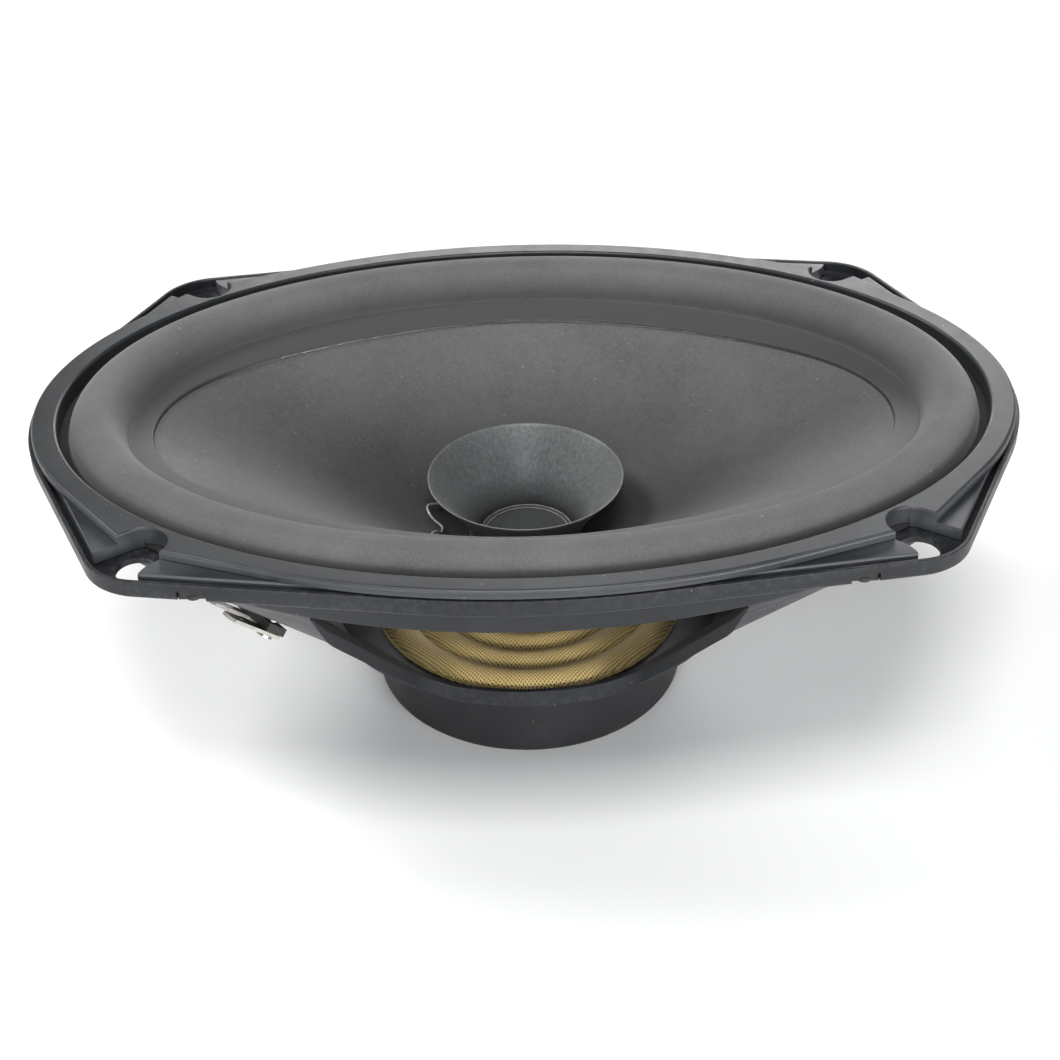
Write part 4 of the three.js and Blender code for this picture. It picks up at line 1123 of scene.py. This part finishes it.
def make_boot():
    """A cup of soft vinyl, with its walls divided into steps of about 1.6 mm."""
    inner, outer, floor, top = BOOT
    rounded = filleted([(0, 0, 0, 0), (outer, 0, 0, 1.8), (outer, top, 0, 0.35), (inner, top, 0, 0.35),
                        (inner, floor, 0, 0.5), (0, floor, 0, 0)], 8)
    profile = []
    for a, b in zip(rounded, rounded[1:] + rounded[:1]):
        pieces = max(1, int(math.hypot(a[0] - b[0], a[1] - b[1]) / 1.6))
        profile += [tuple(np.array(a) + (np.array(b) - np.array(a)) * k / pieces) for k in range(pieces)]
    return turned("magnet_boot_vinyl", profile, 180, 40)


def sleeve(name, inner, outer, bottom, top, radii):
    """A round tube about Z with a radius on each corner of its section."""
    corners = ((inner, bottom), (outer, bottom), (outer, top), (inner, top))
    section = [(*corner, 0, radius) for corner, radius in zip(corners, radii)]
    return turned(name, filleted(section), 96, 40)


def make_neck_bead():
    """The glue round the cone's neck."""
    corners = [(13.15, 38.6, 0, 0.2), (13.9, 38.5, 0, 0.3), (14.9, 39.6, 0, 0.5), (13.7, 40.4, 0, 0.5),
               (13.35, 39.9, 0, 0.2)]
    return turned("neck_glue_bead", filleted(corners), 96, 40)


# ---- Putting the pieces together ----

basket = make_basket()
place_piece(basket, "frame", "basket_paint", "basket")

ring = make_trim_ring()
place_piece(ring, "frame", "trim_plastic", "trim_ring")
pegs = joined("trim_ring_pegs", four(make_peg) + four(make_peg_lug))
place_piece(pegs, "frame", "terminal_phenolic", slot="trim_plastic")

surround = make_surround()
dress(surround, "surround_foam")
radial_blend(surround, ROLL_INNER, ROLL_OUTER, OVAL)
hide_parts("surround")

spider = make_spider()
dress(spider, "spider_cloth")
radial_blend(spider, SPIDER_INNER, SPIDER_OUTER, 0.0)
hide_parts("spider")

place_piece(make_cone(), "cone_assembly", "cone_paper", "cone")
place_piece(make_whizzer(), "cone_assembly", "whizzer_paper", "whizzer_cone")
place_piece(make_dust_cap(), "cone_assembly", "dust_cap_paper", "dust_cap")
cap_beads = joined("dust_cap_beads", [make_bead(11.5, 39.62, 0.2), make_bead(10.6, 39.3, 0.2)])
place_piece(cap_beads, "cone_assembly", "bead_glue", slot="dust_cap_paper")

former = sleeve("voice_coil_former_tube", *FORMER)
place_piece(former, "cone_assembly", "former_film", "voice_coil_former")
coil = sleeve("voice_coil_winding", *COIL)
place_piece(coil, "cone_assembly", "coil_copper", "voice_coil")
place_piece(make_neck_bead(), "cone_assembly", "black_glue", slot="cone_paper")
place_piece(make_edge_line(), "cone_assembly", "black_glue", slot="cone_paper")

for pole, facts in POLES.items():
    coil_wire = make_coil_wire(pole, facts)
    place_piece(coil_wire, "cone_assembly", "lead_enamel", f"coil_wire_{pole}", slot="coil_copper")

place_piece(make_boot(), "frame", "boot_rubber", "magnet_boot")

slot_of = {row["node"]: row["material_slot"] for row in frame["record"]["subparts"]}
for name, node in frame["nodes"].items():
    if not node.hide_render:
        dress(node, slot_of[name])
        bevel = node.modifiers.new("bevel", "BEVEL")
        bevel.width = 0.12 * MM
        bevel.segments = 2
        bevel.limit_method = "ANGLE"
        bevel.angle_limit = math.radians(50)


# ---- Floor and light ----

def make_floor():
    shader = Shader("floor_pale", roughness=0.7, specular=0.2)
    shade = shader.between(shader.noise(2.0, 2), 0.3, 0.7)
    shader.colour(shader.blend(shade, (0.88, 0.88, 0.88), (0.9, 0.9, 0.9)))
    low, high = (-STAGE_HALF, -STAGE_HALF, STAGE_BOTTOM), (STAGE_HALF, STAGE_HALF, STAGE_TOP)
    floor = boxed("floor", low, high)
    floor.data.materials.append(shader.material)


def area_light(name, place, target, size, power, colour):
    data = bpy.data.lights.new(name, "AREA")
    data.shape = "RECTANGLE"
    data.size, data.size_y = size
    data.energy = power
    data.color = colour
    light = bpy.data.objects.new(name, data)
    bpy.context.scene.collection.objects.link(light)
    light.location = place
    light.rotation_mode = "QUATERNION"
    light.rotation_quaternion = (Vector(target) - Vector(place)).to_track_quat("-Z", "Y")


def make_world():
    """White light from all round that is strong at the horizon and weak overhead."""
    world = bpy.data.worlds.new("world")
    world.use_nodes = True
    nodes, links = world.node_tree.nodes, world.node_tree.links
    background = nodes["Background"]
    background.inputs["Color"].default_value = (1.0, 1.0, 1.0, 1.0)
    height = nodes.new("ShaderNodeSeparateXYZ")
    links.new(nodes.new("ShaderNodeTexCoord").outputs["Generated"], height.inputs[0])
    glow = nodes.new("ShaderNodeMapRange")
    for index, value in enumerate((*GLOW_FADES, HORIZON_GLOW, OVERHEAD_GLOW), 1):
        glow.inputs[index].default_value = value
    links.new(height.outputs[2], glow.inputs[0])
    links.new(glow.outputs[0], background.inputs["Strength"])
    bpy.context.scene.world = world


make_floor()
make_world()
for name, facts in LIGHTS.items():
    area_light(name, *facts)
